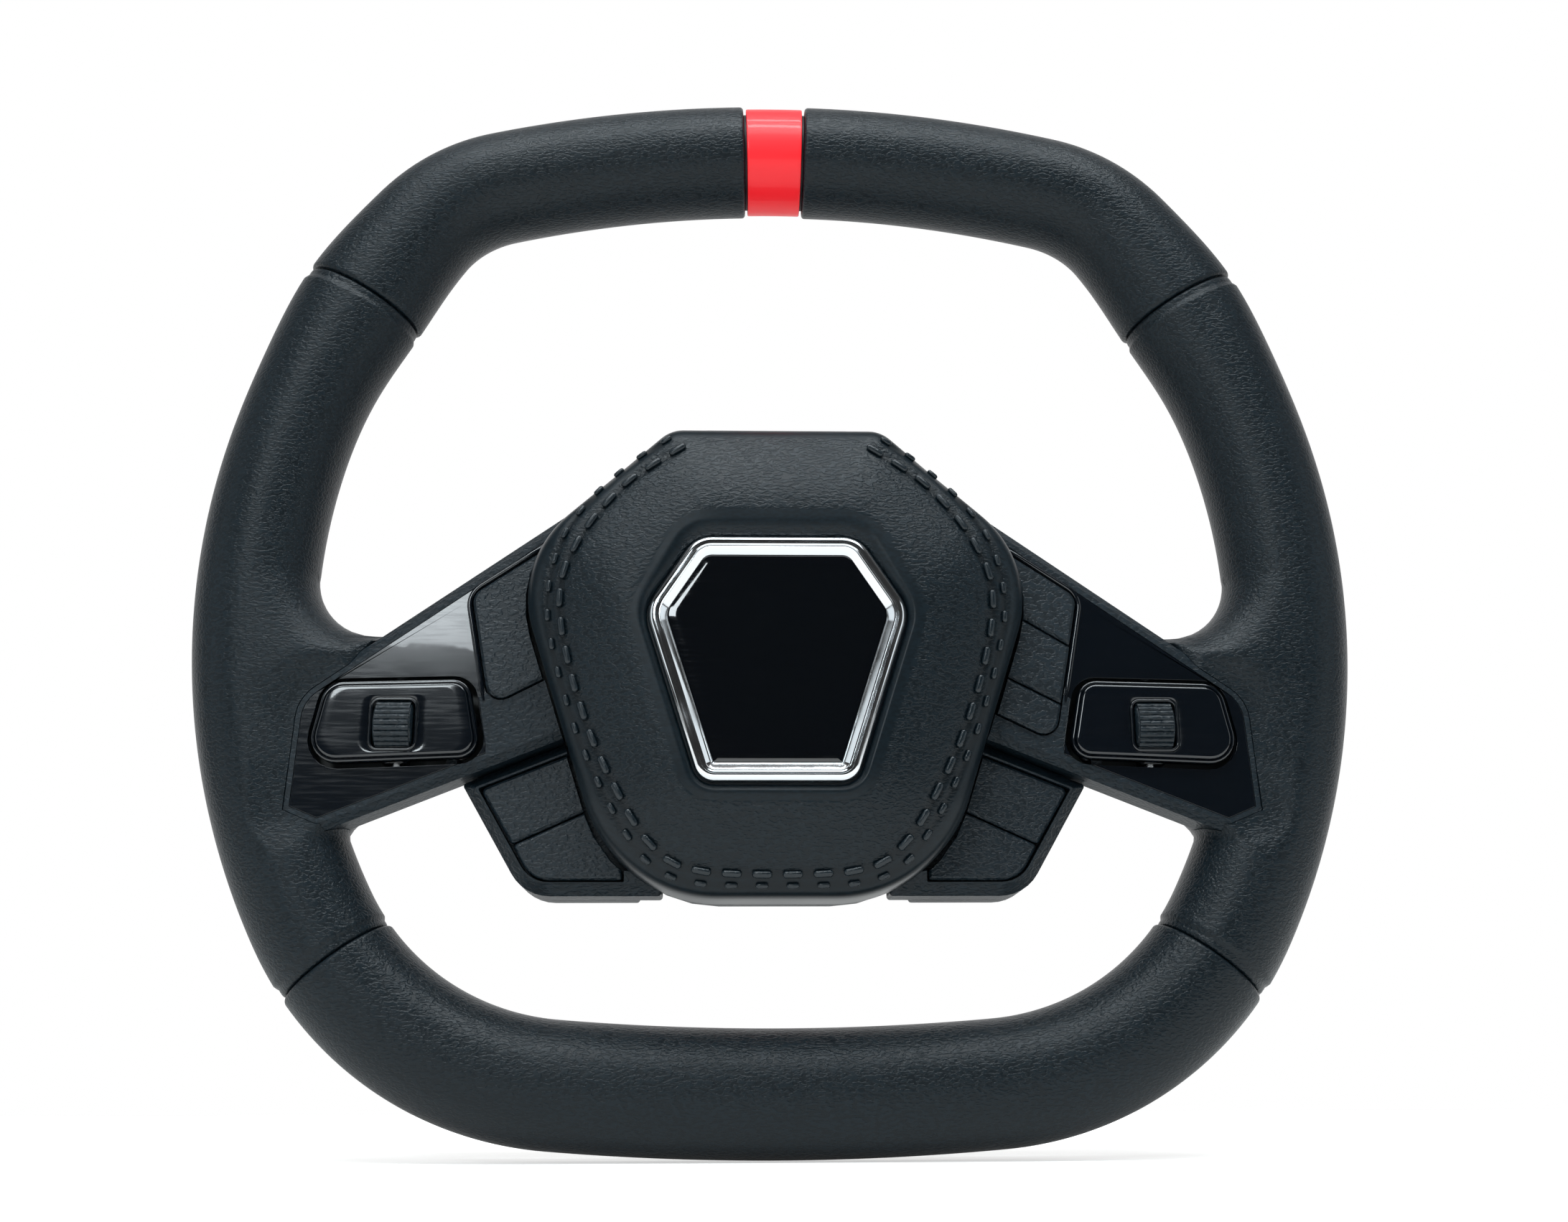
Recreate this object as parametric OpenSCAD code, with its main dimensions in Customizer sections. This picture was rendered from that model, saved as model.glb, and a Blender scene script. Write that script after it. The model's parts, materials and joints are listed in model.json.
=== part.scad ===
// Quick release steering wheel: a squared-off, flat-bottomed rim with moulded
// grips, two switch spokes, a sprung horn pad and a splined ball-lock hub socket.
// +Z points to 12 o'clock, the face looks along -Y, and the steering axis is Y.
// The origin is on that axis, half way along the pilot bore of the hub socket.

/* [Rim] */
// Overall width across the grips
rim_w = 350; // [344:1:358]
// Height of the rim's centre line over the steering axis at 12 o'clock, at the drawn width
rim_top_z = 174; // [168:1:180]
// Half thickness of the rim, seen from the front
rim_half_w = 18; // [16:0.5:20]
// Half depth of the rim, front to back
rim_half_d = 17; // [15:0.5:19]
// Extra half thickness of the thumb swell under each upper seam
thumb_swell = 2.2; // [0:0.2:3]
// Centre-line radius of the crowned top
top_r = 378; // [350:1:400]
// Centre-line radius of the upper corners
corner_r = 46; // [42:0.5:50]
// Centre-line radius of the sides
side_r = 202.42; // [190:0.02:215]
// Centre-line radius of the lower corners
low_corner_r = 87.5; // [80:0.5:95]
// Angle that half of the top turns through
top_turn = 13.5; // [12:0.25:15]
// Angle that an upper corner turns through
corner_turn = 38.3; // [36:0.1:41]
// Angle that a side turns through
side_turn = 66.1; // [64:0.1:68]
// Angle that a lower corner turns through
low_turn = 57.3; // [56:0.1:59]
// Width of the red band at 12 o'clock
band_w = 17.6; // [12:0.2:24]
// How much lower than the grips the band lies
band_step = 0.7; // [0:0.1:1.5]
// How much lower than the band its neck beside each grip lies
band_neck = 1.8; // [1:0.1:3]
// Gap between the band and each grip
band_gap = 0.9; // [0.4:0.1:1.5]
// Distance along the rim from 12 o'clock to the upper seams
seam_up = 150; // [140:1:160]
// Distance along the rim from 12 o'clock to the lower seams
seam_low = 368; // [360:1:376]
// Gap between two grips at a seam
seam_gap = 0.3; // [0.2:0.1:0.6]
// Depth of the rounded end of a grip
grip_end = 1.5; // [0.8:0.1:2.5]
// How far the grip reaches in at a spoke, from the rim's centre line
root_reach = 36; // [32:0.5:38]

/* [Armature] */
// Radius of the rod inside the rim
rod_r = 6; // [5:0.25:7]
// Clearance between the rod and its channel in the grips
rod_clear = 0.5; // [0.4:0.05:0.8]
// Thickness of the hub plate and the struts
plate_t = 7; // [6:0.5:8]
// Half width of the hub plate
plate_half_w = 50; // [46:1:54]
// Half height of the hub plate
plate_half_h = 50; // [47:1:54]
// Width of a strut
strut_w = 11; // [10:0.25:12]
// Pitch circle of the hub bolts
bolt_pcd = 70; // [68:0.5:74]
// Number of hub bolts
bolt_n = 6; // [3:1:6]
// Radius of a hub bolt's shank
bolt_r = 2.5; // [2:0.25:3]
// Radius of the hole in the middle of the hub plate
plate_hole_r = 17; // [15:0.5:20]

/* [Spokes] */
// Height of the spoke face in front of the rim's centre plane
face_y = 14; // [12:0.5:15]
// Half width of the hub's flat top
hub_top_half = 30; // [28:0.5:32]
// Height of the hub's top over the steering axis
hub_top_z = 70; // [68:0.5:71]
// Height of a spoke's upper edge at its outer end
spoke_end_up = -9.89; // [-10.5:0.01:-9]
// Height of a spoke's lower edge at its outer end
spoke_end_low = -53.8; // [-54.5:0.1:-53]
// Height at which the lower edges would cross the steering axis
spoke_low_z = 3; // [2:0.25:5]
// Distance from the rim's centre line in to the outer end of a spoke frame
spoke_inset = 15; // [13:0.5:17]
// Wall of the spoke frame
frame_wall = 2.4; // [2:0.1:3]
// Thickness of the frame's face
frame_face_t = 3; // [2.6:0.1:3.5]
// Width of the bevel round the frame
frame_bevel = 2.2; // [1:0.1:3]
// Width of the textured lip round the gloss insert
lip_w = 3.8; // [3.4:0.1:4.4]
// Thickness of the gloss insert
insert_t = 1.7; // [1.4:0.1:2]
// Clearance round the insert and round the frame in the grip
seat_clear = 0.3; // [0.2:0.05:0.5]

/* [Buttons] */
// Gap round each button
key_gap = 0.5; // [0.4:0.05:0.8]
// How far a spoke button stands out of the face
key_proud = 1.5; // [1:0.1:2]
// Travel of a button
key_travel = 1; // [0.6:0.1:1.2]
// Radius of a button's guide post
post_r = 1.5; // [1.2:0.1:1.8]
// Running clearance of posts, pins and axles
run_clear = 0.06; // [0.03:0.01:0.08]
// Gap round a rocker
rocker_gap = 1.5; // [1.3:0.1:2]
// How far a rocker stands out of the face
rocker_proud = 3; // [2:0.1:4]
// Radius of a thumb roller
roller_r = 8; // [7:0.25:8.5]
// Width of a thumb roller
roller_w = 11; // [9:0.5:12]
// Number of ridges on a thumb roller
roller_n = 20; // [12:1:28]
// Height of the face of the lower buttons in front of the rim's centre plane
wing_y = 9; // [8:0.5:10]

/* [Horn pad] */
// Height of the pad's crown in front of the rim's centre plane
pad_y = 38; // [36:0.5:40]
// Height of the pad's shoulder in front of the rim's centre plane
pad_shoulder_y = 22; // [20:0.5:24]
// Half width of the pad's flat top
pad_top_half = 31.5; // [30:0.5:33]
// Height of the pad's top over the axis
pad_top_z = 70; // [69:0.5:71]
// Half width of the pad where its sides would meet
pad_wide_half = 77.4; // [76:0.2:79]
// Height of that widest corner over the axis
pad_wide_z = 28.7; // [27:0.1:30]
// Half width of the pad at its bottom corners
pad_bot_half = 45.6; // [44:0.2:47]
// Depth of the pad's bottom edge under the axis
pad_bot_z = 69.2; // [68:0.2:70]
// Gap between the pad and the spokes
pad_gap = 1; // [0.8:0.1:1.4]
// Wall of the pad
pad_wall = 4; // [3:0.25:5]
// Travel of the pad
horn_travel = 2; // [1:0.25:2.5]
// Width of the bright ring round the badge place
ring_w = 5.5; // [4.5:0.25:6.5]
// Depth of the badge recess
badge_depth = 3; // [2:0.25:4]

/* [Quick release] */
// Radius of the pilot bore
pilot_r = 15.5; // [15:0.1:15.7]
// Length of the pilot bore
pilot_len = 12; // [8:0.5:14]
// Minor radius of the spline
spline_r = 13; // [12.5:0.1:13.5]
// Depth of the spline's grooves
spline_depth = 1.8; // [1.2:0.1:2]
// Number of spline grooves
spline_n = 12; // [8:1:16]
// Length of the spline
spline_len = 18; // [14:0.5:20]
// Radius of the bore round the locking balls
mouth_r = 16; // [15.9:0.05:16.3]
// Outer radius of the socket's barrel
barrel_r = 22; // [21.8:0.1:22.4]
// Radius of the socket's flange
flange_r = 43; // [42:0.5:44]
// Thickness of the flange
flange_t = 6; // [5:0.25:7]
// Radius of a locking ball
ball_r = 4; // [3.9:0.05:4.1]
// Number of locking balls
ball_n = 6; // [3:1:6]
// Outer radius of the release collar
collar_r = 31; // [30:0.5:32]
// Length of the release collar
collar_len = 27; // [25:0.5:28]
// Travel of the release collar
collar_travel = 8; // [7:0.25:8]
// Radial travel of a ball over the collar's whole travel
ball_travel = 2; // [1.8:0.05:2]

/* [Rear cover] */
// Depth of the rear cover behind the rim's centre plane
cover_y = 17; // [16:0.5:18]
// Wall of the rear cover
cover_wall = 2.5; // [2:0.1:3]
// Width of the bevel round the rear cover's back
cover_bevel = 4; // [2:0.5:5]
// Gap between the ends of the rear cover and the grips
cover_grip_gap = 1.2; // [0.8:0.1:2]

/* [Hidden] */
$fn = 48;
EPS = 0.01;

// ---- Levels along the steering axis, measured back from the rim's centre plane ----
arm_y = 0;
flange_y0 = arm_y + plate_t;
flange_y1 = flange_y0 + flange_t;
pilot_y0 = flange_y0 + spline_len;
pilot_y1 = pilot_y0 + pilot_len;
y_ref = (pilot_y0 + pilot_y1) / 2;
ball_y = pilot_y1 + ball_r + 1;

// ---- Rim centre line: tangent arcs from 12 o'clock down to 6 o'clock ----
arc_h = [0, top_turn, top_turn + corner_turn, top_turn + corner_turn + side_turn,
    top_turn + corner_turn + side_turn + low_turn, 180];
line_half_w = rim_w / 2 - rim_half_w;
// The outline is drawn with the radii above, then fitted to the rim's width
drawn_half_w = top_r * sin(arc_h[1]) + corner_r * (sin(arc_h[2]) - sin(arc_h[1]))
    + side_r * (1 - sin(arc_h[2]));
rim_fit = line_half_w / drawn_half_w;
upper_r = rim_fit * [top_r, corner_r, side_r, low_corner_r];
function run_x(i) = i == 0 ? 0 : run_x(i - 1) + upper_r[i - 1] * (sin(arc_h[i]) - sin(arc_h[i - 1]));
bottom_r = run_x(4) / sin(arc_h[4]);
arc_r = concat(upper_r, [bottom_r]);
function run_z(i) = i == 0 ? rim_top_z * rim_fit
    : run_z(i - 1) - arc_r[i - 1] * (cos(arc_h[i - 1]) - cos(arc_h[i]));
function run_s(i) = i == 0 ? 0 : run_s(i - 1) + arc_r[i - 1] * (arc_h[i] - arc_h[i - 1]) * PI / 180;
arc_x = [for (i = [0:4]) run_x(i)];
arc_z = [for (i = [0:5]) run_z(i)];
arc_s = [for (i = [0:5]) run_s(i)];
half_len = arc_s[5];

// Which arc holds the distance s, and the point and heading [x, z, heading] there
function arc_of(s, i = 0) = i == 4 || s <= arc_s[i + 1] ? i : arc_of(s, i + 1);
function on_half(s, i) = let (h = arc_h[i] + (s - arc_s[i]) / arc_r[i] * 180 / PI)
    [arc_x[i] + arc_r[i] * (sin(h) - sin(arc_h[i])),
        arc_z[i] - arc_r[i] * (cos(arc_h[i]) - cos(h)), h];
function flip(p) = [-p[0], p[1], 360 - p[2]];
function line_at(s) = s < 0 ? flip(line_at(-s)) : s > half_len ? flip(line_at(2 * half_len - s))
    : on_half(s, arc_of(s));

// ---- Grip section along the rim ----
RING_N = 20;
BORE_N = 8;
ROD_N = 12;
root_s = arc_s[2] + arc_r[2] * (90 - arc_h[2]) * PI / 180;
seam_up_s = seam_up * rim_fit;
seam_low_s = seam_low * rim_fit;
root_up = root_s + 12;
root_low = root_s + 66;
root_blend_up = 20;
root_blend_low = 14;
swell_len = 24;
root_square = 0.45;
function smooth(t) = let (u = min(1, max(0, t))) u * u * (3 - 2 * u);
function half_s(s) = let (t = abs(s)) t > half_len ? 2 * half_len - t : t;
function swell(s) = thumb_swell * exp(-pow((half_s(s) - seam_up_s) / swell_len, 2));
function root(s) = let (t = half_s(s)) min(smooth((t - root_up + root_blend_up) / root_blend_up),
    smooth((root_low + root_blend_low - t) / root_blend_low));
function signed_pow(v, e) = sign(v) * pow(abs(v), e);
function ring_at(s, cut) = let (p = line_at(s), k = root(s), out = rim_half_w + swell(s) - cut,
    in_w = out + k * (root_reach - rim_half_w), e = 1 - root_square * k) [for (i = [0:RING_N - 1])
    let (a = 360 * i / RING_N, c = cos(a), r = c > 0 ? out * c : in_w * signed_pow(c, e),
        d = (rim_half_d - cut) * signed_pow(sin(a), c > 0 ? 1 : e))
    [p[0] + r * sin(p[2]), d - y_ref, p[1] + r * cos(p[2])]];
function circle_at(s, q, n) = let (p = line_at(s)) [for (i = [0:n - 1]) let (a = 360 * i / n, r = q * cos(a))
    [p[0] + r * sin(p[2]), q * sin(a) - y_ref, p[1] + r * cos(p[2])]];
// Point at distance d out from the line at s, and the grip's inner edge moved a gap towards the hub
function line_off(s, d) = let (p = line_at(s)) [p[0] + d * sin(p[2]), p[1] + d * cos(p[2])];
function edge_at(s, gap) = line_off(s, -rim_half_w - swell(s) - gap - root(s) * (root_reach - rim_half_w));
function bore_at(s) = circle_at(s, (rod_r + rod_clear) / cos(180 / BORE_N), BORE_N);

// Distances along the rim at which a grip from a to b has a section, coarser on flatter arcs
function steps(a, b, step) = let (n = max(1, ceil((b - a) / step))) [for (i = [1:n]) a + (b - a) * i / n];
function grip_stations(a, b, marks, i = 0) = i == len(marks) ? []
    : concat(steps(i == 0 ? a + 2 * grip_end : marks[i - 1][0], marks[i][0], marks[i][1]),
        grip_stations(a, b, marks, i + 1));
function end_cut(s, a, b) = let (d = min(s - a, b - s), t = max(0, 1 - d / (2 * grip_end)))
    grip_end * (1 - sqrt(1 - t * t));

// A tube from rings of n_out outer and n_in inner points; n_out is a whole multiple of n_in
module tube_solid(outer, inner, n_out, n_in) {
    m = len(outer);
    base = m * n_out;
    walls = [for (j = [0:m - 2], i = [0:n_out - 1]) let (a = j * n_out + i, b = j * n_out + (i + 1) % n_out)
        each [[a, b, a + n_out], [b, b + n_out, a + n_out]]];
    bores = [for (j = [0:m - 2], i = [0:n_in - 1])
        let (a = base + j * n_in + i, b = base + j * n_in + (i + 1) % n_in)
        each [[a, a + n_in, b], [b, a + n_in, b + n_in]]];
    function near(i) = floor((i * n_in + n_out / 2) / n_out) % n_in;
    function cap(j, flip_it) = [for (i = [0:n_out - 1]) let (a = j * n_out + i, b = j * n_out + (i + 1) % n_out,
        p = base + j * n_in + near(i), q = base + j * n_in + near((i + 1) % n_out))
        each concat([flip_it ? [a, b, p] : [b, a, p]],
            p == q ? [] : [flip_it ? [b, q, p] : [q, b, p]])];
    polyhedron(concat([for (r = outer) each r], [for (r = inner) each r]),
        concat(walls, bores, cap(0, false), cap(m - 1, true)), convexity = 8);
}

module grip(a, b, marks) {
    s = concat([a, a + grip_end / 2, a + 2 * grip_end],
        grip_stations(a, b, marks), [b - grip_end / 2, b]);
    tube_solid([for (t = s) ring_at(t, end_cut(t, a, b))], [for (t = s) bore_at(t)], RING_N, BORE_N);
}

// ---- Outlines: [x, z] corners with radii, drawn counter-clockwise from the front ----
CORNER_N = 6;
function unit(v) = v / norm(v);
function turn_of(p, c, n) = let (u = unit(p - c), v = unit(n - c)) acos(min(1, max(-1, u * v)));
function bend(a, b) = let (d = b - a) d > 180 ? d - 360 : d < -180 ? d + 360 : d;
function fillet(p, c, n, r) = let (u = unit(p - c), v = unit(n - c), w = turn_of(p, c, n),
    o = c + unit(u + v) * r / sin(w / 2), s = c + u * r / tan(w / 2) - o, e = c + v * r / tan(w / 2) - o,
    g = atan2(s[1], s[0]), t = bend(g, atan2(e[1], e[0])))
    [for (i = [0:CORNER_N]) o + r * [cos(g + t * i / CORNER_N), sin(g + t * i / CORNER_N)]];
function rounded(c, r) = let (n = len(c)) [for (i = [0:n - 1])
    each fillet(c[(i + n - 1) % n], c[i], c[(i + 1) % n], r[i])];
// Corners moved d inwards along both edges, for a counter-clockwise outline
function left_of(v) = [-v[1], v[0]];
function inset(c, d) = let (n = len(c)) [for (i = [0:n - 1])
    let (u = unit(c[i] - c[(i + n - 1) % n]), v = unit(c[(i + 1) % n] - c[i]))
    c[i] + (left_of(u) + left_of(v)) * d / (1 + u * v)];
function less(r, d) = [for (q = r) max(0.4, q - d)];
module outline(c, r, d = 0) polygon(rounded(inset(c, d), less(r, d)));

// Slab of a front outline from level y0 back to y1, and round work about the steering axis
module slab(y0, y1) translate([0, y1 - y_ref, 0]) rotate([90, 0, 0]) linear_extrude(y1 - y0) children();
module peg(p, r, y0, y1) translate([p[0], y1 - y_ref, p[1]]) rotate([90, 0, 0]) cylinder(r = r, h = y1 - y0);
module turned() translate([0, -y_ref, 0]) rotate([-90, 0, 0]) rotate_extrude($fn = 96) children();
module left() mirror([1, 0, 0]) children();

// ---- Spoke outline ----
spoke_reach = line_half_w - spoke_inset;
// Place along the spoke, as a share of the way from the pad's side to the spoke's outer end
spoke_from = 72;
function across(share) = spoke_from + share * (spoke_reach - spoke_from);
function spoke_up(x) = hub_top_z + (spoke_end_up - hub_top_z) * (x - hub_top_half) / (spoke_reach - hub_top_half);
function spoke_low(x) = spoke_low_z + (spoke_end_low - spoke_low_z) * x / spoke_reach;
low_x = spoke_reach - 11;
frame_c = [[hub_top_half, spoke_low(hub_top_half)], [low_x, spoke_low(low_x)],
    [spoke_reach + 1, spoke_low(low_x) + 5], [spoke_reach - 1, spoke_up(spoke_reach - 1)],
    [hub_top_half, hub_top_z]];
frame_rad = [1, 5, 2, 14, 1];

// ---- Horn pad outline ----
pad_c = [[-pad_bot_half, -pad_bot_z], [pad_bot_half, -pad_bot_z], [pad_wide_half, pad_wide_z],
    [pad_top_half, pad_top_z], [-pad_top_half, pad_top_z], [-pad_wide_half, pad_wide_z]];
pad_rad = [40, 40, 33, 10, 10, 33];

// ---- Button bay next to the pad: outer edge and sloping dividers ----
bay_in_x = 58;
bay_top = [across(0.254), 20.8];
bay_bot = [across(0.137), -22.8];
bay_slope = (bay_bot[0] - bay_top[0]) / (bay_bot[1] - bay_top[1]);
function bay_x(z) = bay_top[0] + bay_slope * (z - bay_top[1]);
function bay_line(z, fall) = [[bay_in_x, z + tan(fall) * (bay_x(z) - bay_in_x)], [bay_x(z), z]];
bay_falls = [34, 31.4, 27.5, 26];
bay_levels = [bay_top[1], 5.6, -11.9, bay_bot[1]];
large_level = -12.6;
bay_round = 4.5;
function bay_c(top, low) = let (t = bay_line(bay_levels[top], bay_falls[top]), b = bay_line(bay_levels[low],
    bay_falls[low])) [b[0], b[1], t[1], t[0]];
large_c = let (t = bay_line(bay_levels[0], bay_falls[0]), b = bay_line(large_level, bay_falls[2]))
    [b[0], b[1], t[1], t[0]];

// ---- Rocker ----
rocker_c = [[across(0.16), -29.4], [spoke_reach - 4.6, -31.6], [spoke_reach - 10.2, -4.6],
    [across(0.231), -3.6]];
rocker_rad = [7, 9, 8, 7];
roller_at = [(rocker_c[0][0] + rocker_c[1][0]) / 2, -18.6];
window_w = roller_w + 3.6;
window_h = 15.4;
window_lip = 2;
roller_y = -(face_y + rocker_proud) + sqrt(roller_r * roller_r - pow(window_h / 2 - 1.2, 2));
axle_r = 1.2;
rocker_pin_r = 1.5;
rocker_pin_y = -8;

// ---- Wing (lower switch) outline ----
wing_gap = 0.5;
wing_side = 1.7;
wing_bot_z = -66.6;
wing_out_x = 91.6;
wing_in_x = 40;
function wing_top(x) = spoke_low(x) - wing_gap;
function wing_side_x(z) = wing_out_x + (z - wing_top(wing_out_x)) / wing_side;
wing_c = [[wing_in_x, wing_bot_z], [wing_side_x(wing_bot_z), wing_bot_z],
    [wing_out_x, wing_top(wing_out_x)], [wing_in_x, wing_top(wing_in_x)]];
wing_rad = [1, 13, 1, 1];
wing_wall = 3.6;
wing_split_x = 77;
wing_split_z = -52.7;
wing_split_fall = 24.6;
function wing_split(x) = wing_split_z + tan(wing_split_fall) * (wing_split_x - x);
wing_floor_y = -2.8;
wing_floor_t = 2.4;
wing_bevel = 3;
wing_back_y = 6;
wing_screws = [[46, -40], [45, -25]];

// ---- Armature ----
up_strut = [[36, 27], [line_half_w - 4, -18]];
low_strut = [[36, -8], [line_half_w - 10, -38]];
function on_strut(s, x) = [x, s[0][1] + (s[1][1] - s[0][1]) * (x - s[0][0]) / (s[1][0] - s[0][0])];
function strut_c(s, w) = let (n = left_of(unit(s[1] - s[0])) * w / 2) [s[0] - n, s[1] - n, s[1] + n, s[0] + n];
guide_at = [[38, 36], [30, -40]];
frame_posts = [on_strut(up_strut, across(0.371)), on_strut(low_strut, across(0.314))];
cover_posts = [on_strut(up_strut, 60), on_strut(low_strut, 52)];
hub_screw_r = 2.4;
frame_screw_r = 1.9;
cover_screw_r = 2;
hole_clear = 0.15;
hub_c = [[-plate_half_w, -plate_half_h], [plate_half_w, -plate_half_h], [plate_half_w, plate_half_h],
    [-plate_half_w, plate_half_h]];
function bolt_at(i) = bolt_pcd / 2 * [cos(360 * i / bolt_n), sin(360 * i / bolt_n)];

// Distances along half of the rim at which the rod has a section
rod_marks = [[0, 1], [arc_s[1], 4], [arc_s[2], 4], [arc_s[3], 13], [arc_s[4], 8], [arc_s[5], 3]];
rod_half = [for (i = [1:len(rod_marks) - 1]) let (a = rod_marks[i - 1][0], b = rod_marks[i][0], n = rod_marks[i][1])
    each [for (k = [0:n - 1]) a + (b - a) * k / n]];
module rim_rod() {
    s = concat(rod_half, [half_len], [for (i = [len(rod_half) - 1:-1:1]) 2 * half_len - rod_half[i]]);
    n = ROD_N;
    m = len(s);
    polyhedron([for (t = s) each circle_at(t, rod_r, n)], [for (j = [0:m - 1], i = [0:n - 1])
        let (a = j * n + i, b = j * n + (i + 1) % n, c = (j + 1) % m * n + i, d = (j + 1) % m * n + (i + 1) % n)
        each [[a, b, c], [b, d, c]]], convexity = 8);
}
module struts(w, y0, y1) for (s = [up_strut, low_strut]) slab(y0, y1) polygon(strut_c(s, w));
module both() { children(); left() children(); }

module armature() color("silver") difference() {
    union() {
        rim_rod();
        both() struts(strut_w, arm_y, arm_y + plate_t);
        slab(arm_y, arm_y + plate_t) outline(hub_c, [14, 14, 14, 14]);
    }
    for (i = [0:bolt_n - 1]) peg(bolt_at(i), bolt_r + hole_clear, arm_y - 1, flange_y0 + 1);
    peg([0, 0], plate_hole_r, arm_y - 1, flange_y0 + 1);
    both() {
        for (p = guide_at) peg(p, hub_screw_r + hole_clear, arm_y - 1, flange_y0 + 1);
        for (p = frame_posts) peg(p, frame_screw_r + hole_clear, arm_y - 1, flange_y0 + 1);
        for (p = cover_posts) peg(p, cover_screw_r + hole_clear, arm_y + 1, flange_y0 + 1);
        for (p = wing_screws) peg(p, frame_screw_r + hole_clear, arm_y - 1, arm_y + 5);
    }
}

// ---- Grips ----
grip_from = band_w / 2 + band_gap;
seam_half = seam_gap / 2;
module grip_upper() grip(grip_from, seam_up_s - seam_half,
    [[arc_s[1], 13], [arc_s[2], 6.2], [seam_up_s - seam_half - 2 * grip_end, 7]]);
module grip_side() difference() {
    grip(seam_up_s + seam_half, seam_low_s - seam_half, [[root_up - root_blend_up, 9], [root_up, 4],
        [root_low, 11], [root_low + root_blend_low, 3.5], [seam_low_s - seam_half - 2 * grip_end, 8]]);
    slab(-rim_half_d - 9, arm_y - 0.6) outline(frame_c, frame_rad, -seat_clear);
    struts(strut_w + 2 * rod_clear, arm_y - rod_clear, arm_y + plate_t + rod_clear);
}
module grip_top_right() color("#1f252b") grip_upper();
module grip_top_left() color("#1f252b") left() grip_upper();
module grip_right() color("#1f252b") grip_side();
module grip_left() color("#1f252b") left() grip_side();
module grip_bottom() color("#1f252b") grip(seam_low_s + seam_half, 2 * half_len - seam_low_s - seam_half,
    [[arc_s[4], 8], [2 * half_len - arc_s[4], 18], [2 * half_len - seam_low_s - seam_half - 2 * grip_end, 8]]);
module centre_band() color("#e8001c") {
    edge = band_w / 2;
    neck = edge + band_gap - seam_gap;
    s = [[-neck, band_neck], [-edge, band_neck], [-edge, 0], [-edge / 2, 0], [0, 0], [edge / 2, 0], [edge, 0],
        [edge, band_neck], [neck, band_neck]];
    bores = [for (t = s) bore_at(t[1] == 0 && abs(t[0]) == edge ? t[0] * 0.98 : t[0])];
    tube_solid([for (t = s) ring_at(t[0], band_step + t[1])], bores, RING_N, BORE_N);
}

// ---- Spoke frames and gloss inserts ----
post_shoulder_r = 4;
post_tip_r = 3.3;
post_rib_t = 3;
rod_room_w = rod_r + 4 * rod_clear;
board_y = -3.2;
board_t = 1.6;
frame_back_y = -1;
bracket_w = 7;
bracket_t = 2.5;
module pad_room(y0, y1, gap = 0) slab(y0, y1) outline(pad_c, pad_rad, -pad_gap - gap);
module bay_hole(y0, y1, c) slab(y0, y1) outline(c, [1, bay_round, bay_round, 1], -key_gap);
land_c = [[40, -70], [across(0.171), -70], [across(0.171), -24], [across(0.207), -10], [40, 15]];
module insert_area(grow) difference() {
    outline(frame_c, frame_rad, lip_w - grow);
    polygon(land_c);
}
module bracket(z0, z1) translate([roller_at[0] - bracket_w / 2, rocker_pin_y - 3 - y_ref, z0])
    cube([bracket_w, 6, z1 - z0]);
rocker_up_z = -3.4;
rocker_down_z = -31.7;
module rocker_bore(r) translate([roller_at[0], rocker_pin_y - y_ref, rocker_down_z - bracket_t - 1])
    cylinder(r = r, h = rocker_up_z - rocker_down_z + 2 * bracket_t + 2);
// Room for the rim's rod and its grip behind the spoke's tip
module rod_room(y0, y1) slab(y0, y1) polygon(concat([for (s = [root_up:9:root_low + 27]) line_off(s, -rod_room_w)],
    [for (s = [root_low + 27:-9:root_up]) line_off(s, rim_half_w)]));
module spoke_frame(bay) difference() {
    union() {
        difference() {
            union() {
                hull() {
                    slab(-face_y, -face_y + EPS) outline(frame_c, frame_rad, frame_bevel);
                    slab(-face_y + frame_bevel, -face_y + frame_bevel + 1) outline(frame_c, frame_rad);
                }
                slab(-face_y + frame_bevel, frame_back_y) outline(frame_c, frame_rad);
            }
            slab(-face_y + frame_face_t, 1) outline(frame_c, frame_rad, frame_wall);
        }
        for (p = frame_posts) {
            peg(p, post_shoulder_r, -face_y + frame_face_t - EPS, board_y);
            peg(p, post_tip_r, board_y - EPS, arm_y);
        }
        slab(-face_y + frame_face_t, board_y) hull() for (z = [frame_posts[1][1], spoke_low(frame_posts[1][0]) + 1])
            translate([frame_posts[1][0] - post_rib_t / 2, z]) square([post_rib_t, EPS]);
        bracket(rocker_up_z, rocker_up_z + bracket_t);
        bracket(rocker_down_z - bracket_t, rocker_down_z);
    }
    slab(-face_y - 1, -face_y + insert_t) insert_area(seat_clear / 2);
    pad_room(-face_y - 1, 1);
    slab(-face_y - 1, -face_y + frame_face_t + EPS) outline(rocker_c, rocker_rad);
    bay_hole(-face_y - 1, 1, bay);
    for (p = frame_posts) peg(p, frame_screw_r + EPS * 5, -7, 1);
    rocker_bore(rocker_pin_r + run_clear / 2);
    rod_room(-rod_r - 2 * rod_clear, 1);
}
module gloss_insert(bay) difference() {
    slab(-face_y, -face_y + insert_t) insert_area(0);
    pad_room(-face_y - 1, 1);
    slab(-face_y - 1, 1) outline(rocker_c, rocker_rad);
    bay_hole(-face_y - 1, 1, bay);
}
module spoke_frame_right() color("#22282e") spoke_frame(bay_c(0, 3));
module spoke_frame_left() color("#22282e") left() spoke_frame(large_c);
module gloss_insert_right() color("#0b0d10") gloss_insert(bay_c(0, 3));
module gloss_insert_left() color("#0b0d10") left() gloss_insert(large_c);

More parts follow.
